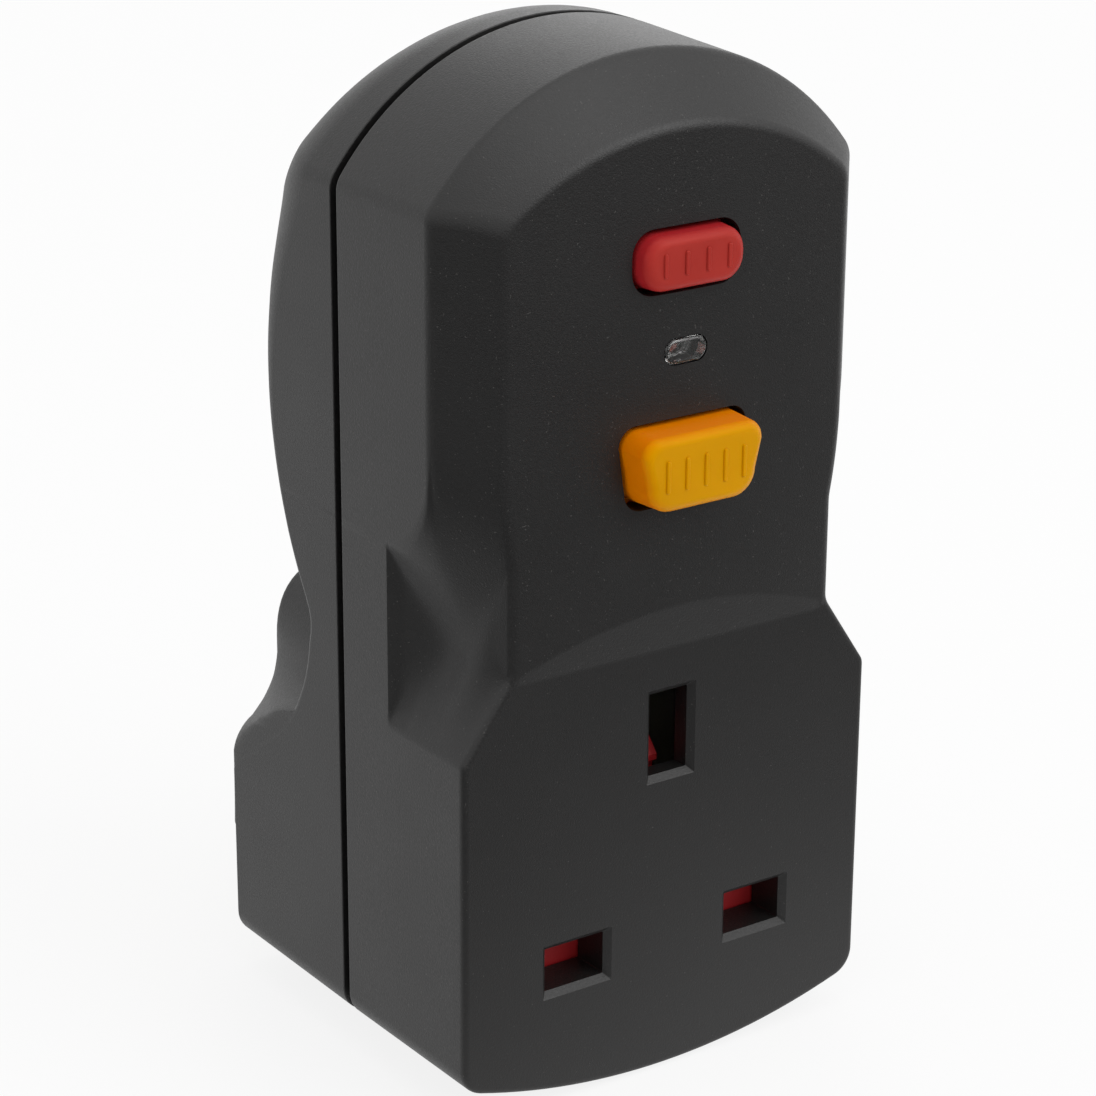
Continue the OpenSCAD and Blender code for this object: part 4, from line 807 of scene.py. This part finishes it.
def close_face(bm, rim, depth):
    right, left = [
        min((v for v in rim if side * v.co.x > 0), key=lambda v: abs(v.co.y - face_top_y))
        for side in (1, -1)
    ]
    i, j = rim.index(right), rim.index(left)
    reach = int(right.co.x - column_gap)
    columns = range(reach, -reach - 1, -1)
    fold = [bm.verts.new((x, face_top_y, body_d - depth)) for x in columns]
    brow = []
    for x in columns:
        rise = crown_depth(x) - body_d
        brow_y = face_top_y + rise * ramp_h / crown
        brow.append(bm.verts.new((x, brow_y, body_d + rise - depth)))
    bm.faces.new(rim[j:] + rim[:i + 1] + fold)
    bm.faces.new((right, brow[0], fold[0]))
    for k in range(len(fold) - 1):
        bm.faces.new((fold[k], brow[k], brow[k + 1], fold[k + 1]))
    bm.faces.new((left, fold[-1], brow[-1]))
    panel = bm.faces.new(rim[i:j + 1] + brow[::-1])
    cuts = [((x, 0, 0), (1, 0, 0)) for x in columns]
    for v in slice_across(bm, [panel], cuts):
        v.co.z = face_depth(v.co.x, v.co.y, depth)
    if depth:
        return
    creases = [bm.edges.get(pair) for line in (fold, brow) for pair in zip(line, line[1:])]
    bmesh.ops.bevel(
        bm, geom=creases, offset=crease_soft / 2, offset_type="OFFSET", affect="EDGES",
        segments=2, profile=0.5, material=-1,
    )


def front_form(name, inset, depth, z_start):
    back = inset / 2
    rim = [(0, 0)] if inset else rounded_edge(front_rim_d, front_rim_w, 5)
    rings = [front_ring(z_start + rise, half_w, 0, inset + edge) for rise, edge in rim]
    rings += [front_ring(z - back, neck, t, inset) for z, neck, t in front_levels(not inset)]
    near_z, far_z = body_d - edge_reach - depth, crown_z + edge_reach
    near = front_ring(near_z, neck_half, bevel_share(near_z + back), inset)
    far = front_ring(far_z, neck_half, bevel_share(far_z + back), inset)
    rings.append(near)
    corner = [meet_face(a, b, depth) for a, b in zip(near, far)]
    sides = []
    for a, p, n in zip(near, corner, inward(corner)):
        x, y = p.xy + face_edge_r * n
        under = p + (a - p).normalized() * face_edge_r
        sides.append(blend(under, p, (x, y, face_depth(x, y, depth)), 6))
    rings += [list(level) for level in zip(*sides)]
    bm = bmesh.new()
    face_rim = open_loft(bm, rings)
    if not inset:
        soften_waist(bm)
    close_face(bm, face_rim, depth)
    return as_object(bm, name)


def soft_rectangle(w, h, r, tuck=0.0, low_r=0.0):
    ring = []
    for sx, sy, start in ((1, -1, -pi / 2), (1, 1, 0), (-1, 1, pi / 2), (-1, -1, pi)):
        corner_r = low_r if low_r and sy < 0 else r
        corner_r = min(corner_r, w / 2 - tuck - sliver, h / 2 - sliver)
        x = sx * (w / 2 - corner_r - (tuck if sy < 0 else 0))
        ring += arc(x, sy * (h / 2 - corner_r), corner_r, start, start + pi / 2, 8)
    return ring


def raised(ring, x, y, z):
    return [Vector((p.x + x, p.y + y, z)) for p in ring]


def slot_core(bm, x, y, w, h):
    lead = slot_splay * slot_lead
    steps = [
        (slot_end_z, 0), (body_d - slot_lead, 0),
        (body_d + slot_over * slot_lead, lead), (body_d + through, lead),
    ]
    loft(bm, [raised(soft_rectangle(w + g, h + g, slot_corner_r), x, y, z) for z, g in steps])


def panel_core(bm, w, h, r, tuck, y):
    steps = [
        (crown_z - hole_below, 0), (crown_z - hole_lip, 0),
        (crown_z + hole_over, hole_flare), (crown_z + hole_above, hole_flare),
    ]
    loft(bm, [
        raised(soft_rectangle(w + 2 * play + g, h + 2 * play + g, r + g / 2, tuck), 0, y, z)
        for z, g in steps
    ])


front_shell = front_form("front_shell", 0, 0, parting_z + groove_w / 2)
carve(front_shell, front_form("front_cavity", wall, front_skin, parting_z - through))

bm = bmesh.new()
recess = plain_outline(wall / 2)
recess_end = parting_z + groove_w / 2 + lip_h
loft(bm, [at_depth(recess, parting_z - through), at_depth(recess, recess_end)])
carve(front_shell, as_object(bm, "lip_recess"))

bm = bmesh.new()
for x, y, z in screw_places:
    for side in (-1, 1):
        rod(bm, side * x, y, 2 * boss_r, z + post_h + fit, z + beyond)
bosses = as_object(bm, "bosses")
bm = bmesh.new()
for side in (-1, 1):
    x = side * pole_x
    box_between(
        bm, (x - slot_w / 2 - collar_t, -slot_h / 2 - collar_t, collar_end_z),
        (x + slot_w / 2 + collar_t, slot_h / 2 + collar_t, body_d))
    inner, outer = sorted((side * (guide_x + play), side * (guide_x + play + guide_t)))
    box_between(bm, (inner, guide_low_y, guide_end_z), (outer, guide_high_y, body_d))
box_between(bm, (-core_rib_w / 2, core_y - core_rib_h / 2, core_top_z),
            (core_rib_w / 2, core_y + core_rib_h / 2, body_d))
for inside in (bosses, as_object(bm, "ribs")):
    mid_skin = front_form("mid_skin", wall / 2, front_skin / 2, parting_z - skin_reach)
    carve(inside, mid_skin, "INTERSECT")
    carve(front_shell, inside, "UNION")

bm = bmesh.new()
for side in (-1, 1):
    slot_core(bm, side * pole_x, 0, slot_w, slot_h)
slot_core(bm, 0, earth_y, earth_slot_w, earth_slot_h)
panel_core(bm, test_w, test_h, test_r, 0, test_y)
panel_core(bm, reset_w, reset_h, reset_r, reset_tuck, reset_y)
lens_hole = soft_rectangle(lens_w + 2 * fit, lens_h + 2 * fit, lens_h / 2)
loft(bm, [raised(lens_hole, 0, lens_y, z) for z in (crown_z - hole_below, crown_z + hole_above)])
at_screws(bm, pilot_d, through, pilot_front)
carve(front_shell, as_object(bm, "face_cores"))
finish_mesh(front_shell)
front_shell.data.materials.append(shell_black)
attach(front_shell, "housing")
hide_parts("front_cover")

# Buttons: the red test button and the amber reset button are moulded in one piece with a
# flange that stops behind the panel and a stem. Their faces carry a row of low ribs.
flange_back_z, panel_under_z, flange_t, flange_rim = 40.9, 42.6, 1.2, 1.0
cap_draft, cap_edge_r, cap_least_r, reset_low_r = 0.2, 1.0, 0.4, 2.7
stem_d, test_stem_d, stem_root = 4.0, 3.0, 0.5
rib_h, rib_w, rib_root, rib_crest, rib_draft, rib_taper = 0.2, 0.5, 0.3, 0.08, 0.03, 0.11
rib_span, rib_share = 0.62, 0.42
test_ribs, reset_ribs = 4, 5


def button_ribs(w, h, y, ribs, face_z, front_z):
    bm = bmesh.new()
    pitch = w * rib_span / (ribs - 1)
    steps = [(face_z - rib_root, 0), (front_z - rib_crest, rib_draft), (front_z, rib_taper)]
    for k in range(ribs):
        x = (k - (ribs - 1) / 2) * pitch
        loft(bm, [
            raised(soft_rectangle(rib_w - 2 * g, h * rib_share - 2 * g, rib_w / 2), x, y, z)
            for z, g in steps
        ])
    return as_object(bm, "ribs")


def button(name, node, w, h, r, tuck, low_r, y, stem, ribs):
    low_corner, high_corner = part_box(node)
    stem_end_z, front_z = -high_corner.y / MM, -low_corner.y / MM
    face_z = front_z - rib_h
    steps = [(flange_back_z, 0), (panel_under_z, 0)]
    for rise, back in rounded_edge(cap_edge_r, cap_edge_r, 7):
        steps.append((face_z - back, cap_draft + rise))
    bm = bmesh.new()
    rings = []
    for z, g in steps:
        cap_r = max(r - g / 2, cap_least_r)
        ring = soft_rectangle(w - 2 * g, h - 2 * g, cap_r, tuck, low_r - g / 2)
        rings.append(raised(ring, 0, y, z))
    loft(bm, rings)
    piece = as_object(bm, name)
    bm = bmesh.new()
    box_between(
        bm, (-w / 2 - flange_rim, y - h / 2 - flange_rim, flange_back_z),
        (w / 2 + flange_rim, y + h / 2 + flange_rim, flange_back_z + flange_t))
    carve(piece, as_object(bm, "flange"), "UNION")
    bm = bmesh.new()
    rod(bm, 0, y, stem, stem_end_z, flange_back_z + stem_root)
    carve(piece, as_object(bm, "stem"), "UNION")
    carve(piece, button_ribs(w, h, y, ribs, face_z, front_z), "UNION")
    finish_mesh(piece)
    return piece


# A button's sides are painted a deeper colour than its face: painted light, standing in for the
# light that comes through the plastic there.
def button_plastic(name, node, code, shade, painted_side_light, tint):
    material, shader, place = new_finish(
        name, Subsurface_Weight=0.12, Subsurface_Scale=0.0015, Specular_IOR_Level=0.3,
        Specular_Tint=colour(tint))
    grain = noise(place, 3000, 1.0)
    flow = noise(place, 190, 3.0)
    back = place.node("ShaderNodeSeparateXYZ", {}, {"Vector": place}, "Y")
    face = mix(ramp(flow, 0.3, 0.75), colour(code), colour(shade))
    front_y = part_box(node)[0].y
    # Behind the face the colour runs into the painted side light.
    feed(
        shader,
        Base_Color=mix(ramp(back, front_y + 0.0002, front_y + 0.0013), face, colour(painted_side_light)),
        Roughness=ramp(grain, 0.3, 0.7, 0.33, 0.42) + (flow - 0.5) * 0.1,
        Normal=bump(grain, 0.00001, 0.6),
    )
    return material


test_cap = button(
    "test_cap", "test_button", test_w, test_h, test_r, 0, test_r, test_y, test_stem_d, test_ribs)
reset_cap = button(
    "reset_cap", "reset_button", reset_w, reset_h, reset_r, reset_tuck, reset_low_r, reset_y,
    stem_d, reset_ribs)
test_cap.data.materials.append(button_plastic(
    "test_red", "test_button", "#a8322b", "#a02e27", "#b5272c", "#ffa098"))
reset_cap.data.materials.append(button_plastic(
    "reset_amber", "reset_button", "#ce9100", "#c88c00", "#f38500", "#ffb428"))
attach(test_cap, "test_button")
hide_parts("test_button")
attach(reset_cap, "reset_button")
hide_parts("reset_button")

# Indicator: a clear moulded window pressed into the panel from behind, with a small glass
# neon lamp standing behind it on a spacer.
lens_front_z, lens_edge_r, lens_flange_t, lens_flange_rim = 45.25, 0.45, 1.0, 0.7


def clear_plastic():
    material, shader, place = new_finish(
        "window_clear", Transmission_Weight=0.975, IOR=1.49)
    haze = noise(place, 700, 2.0)
    feed(
        shader,
        Base_Color=mix(haze, colour("#f4f4f2"), colour("#e6e6e4")),
        Roughness=ramp(haze, 0.3, 0.7, 0.04, 0.1),
        Normal=bump(haze, 0.00003, 0.3),
    )
    return material


seat_z = panel_under_z - fit
steps = [(panel_under_z - lens_flange_t, -lens_flange_rim), (seat_z, -lens_flange_rim), (seat_z, 0)]
for rise, back in rounded_edge(lens_edge_r, lens_edge_r, 6):
    steps.append((lens_front_z - back, rise))
bm = bmesh.new()
loft(bm, [
    raised(soft_rectangle(lens_w - 2 * g, lens_h - 2 * g, lens_h / 2 - g), 0, lens_y, z)
    for z, g in steps
])
window = as_object(bm, "indicator_window")
finish_mesh(window, radians(40))
window.data.materials.append(clear_plastic())
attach(window, "housing")
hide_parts("indicator_lens")
paint(moulded_plastic("lamp_glass", "#e08a7c", "#d06a5c", 0.12, 0.000004), "indicator_lamp")

# Studio: a pale floor, an even white surround, soft lamps overhead, in front and behind, and
# a camera at the photograph's angle. The floor and the surround look white to the camera,
# and mirrored in the object the floor gets dimmer towards the camera.
floor_half, floor_gap = 3, 0.0003
white, floor_grey, near_grey = (1, 1, 1, 1), (0.9, 0.9, 0.9, 1), (0.1, 0.1, 0.1, 1)
white_share, ambient_strength = 0.85, 0.62
dim_near_y, dim_far_y, dim_turn, dim_turn_x = -0.11, -0.045, 0.45, 0.02

floor_mesh = bmesh.new()
bmesh.ops.create_grid(
    floor_mesh, x_segments=2, y_segments=2, size=floor_half,
    matrix=Matrix.Translation((0, 0, cad_box[0].z - floor_gap)),
)
floor = as_object(floor_mesh, "floor")
floor_paint, floor_shader, floor_place = new_finish(
    "floor_white", Base_Color=floor_grey, Roughness=0.9)


def seen_by(tree):
    path = tree.nodes.new("ShaderNodeLightPath")
    camera = Wire(path.outputs["Is Camera Ray"])
    direct = camera.math("MAXIMUM", camera, Wire(path.outputs["Is Transmission Ray"]))
    return direct, direct.math("MAXIMUM", direct, Wire(path.outputs["Is Glossy Ray"]))


direct, shown = seen_by(floor_paint.node_tree)
across_floor = floor_place.node("ShaderNodeSeparateXYZ", {}, {"Vector": floor_place}, "X")
leftward = across_floor.math("MINIMUM", across_floor, dim_turn_x) * dim_turn
away = Wire(across_floor.socket.node.outputs["Y"]) + leftward
brightness = direct.math("MAXIMUM", direct, ramp(away, dim_near_y, dim_far_y))
glow = direct.node("ShaderNodeEmission", {}, {"Color": mix(brightness, near_grey, white)})
share = shown * white_share
lit = share.node("ShaderNodeMixShader", {}, {0: share, 1: Wire(floor_shader.outputs[0]), 2: glow})
feed(floor_paint.node_tree.nodes["Material Output"], Surface=lit)
floor.data.materials.append(floor_paint)

world = bpy.data.worlds.new("studio")
bpy.context.scene.world = world
world.use_nodes = True
ambient = world.node_tree.nodes["Background"]
ambient.inputs["Color"].default_value = white
ambient.inputs["Strength"].default_value = ambient_strength
shown = seen_by(world.node_tree)[1]
room = shown.node("ShaderNodeBackground", {}, {"Color": white})
sky = shown.node("ShaderNodeMixShader", {}, {0: shown, 1: Wire(ambient.outputs[0]), 2: room})
feed(world.node_tree.nodes["World Output"], Surface=sky)

middle = Vector((0, -0.022, 0.038))


def softbox(name, place, size, power):
    lamp = bpy.data.lights.new(name, "AREA")
    lamp.size, lamp.energy = size, power
    box = bpy.data.objects.new(name, lamp)
    box.location = place
    box.rotation_euler = (middle - Vector(place)).to_track_quat("-Z", "Y").to_euler()
    bpy.context.scene.collection.objects.link(box)


softbox("key", (0.45, -0.85, 0.75), 0.8, 5.0)
softbox("overhead", (0.0, -0.2, 1.15), 0.9, 2.6)
softbox("far_right", (0.62, 0.9, 0.45), 0.6, 1.2)

lens_data = bpy.data.cameras.new("photo_camera")
lens_data.lens, lens_data.sensor_width = 109.99, 36.0
lens_data.clip_start = 0.01
camera = bpy.data.objects.new("photo_camera", lens_data)
camera_place = Vector((-0.183475, -0.285869, 0.153537))
azimuth, elevation, roll = 0.608567, 0.353676, 0.0054395
ahead = Vector((sin(azimuth) * cos(elevation), cos(azimuth) * cos(elevation), -sin(elevation)))
across = Vector((cos(azimuth), -sin(azimuth), 0))
upward = across.cross(ahead)
right = cos(roll) * across + sin(roll) * upward
top = cos(roll) * upward - sin(roll) * across
turn = Matrix((right, top, -ahead)).transposed().to_4x4()
camera.matrix_world = Matrix.Translation(camera_place) @ turn
bpy.context.scene.collection.objects.link(camera)
bpy.context.scene.camera = camera
bpy.context.scene.view_settings.view_transform = "Standard"
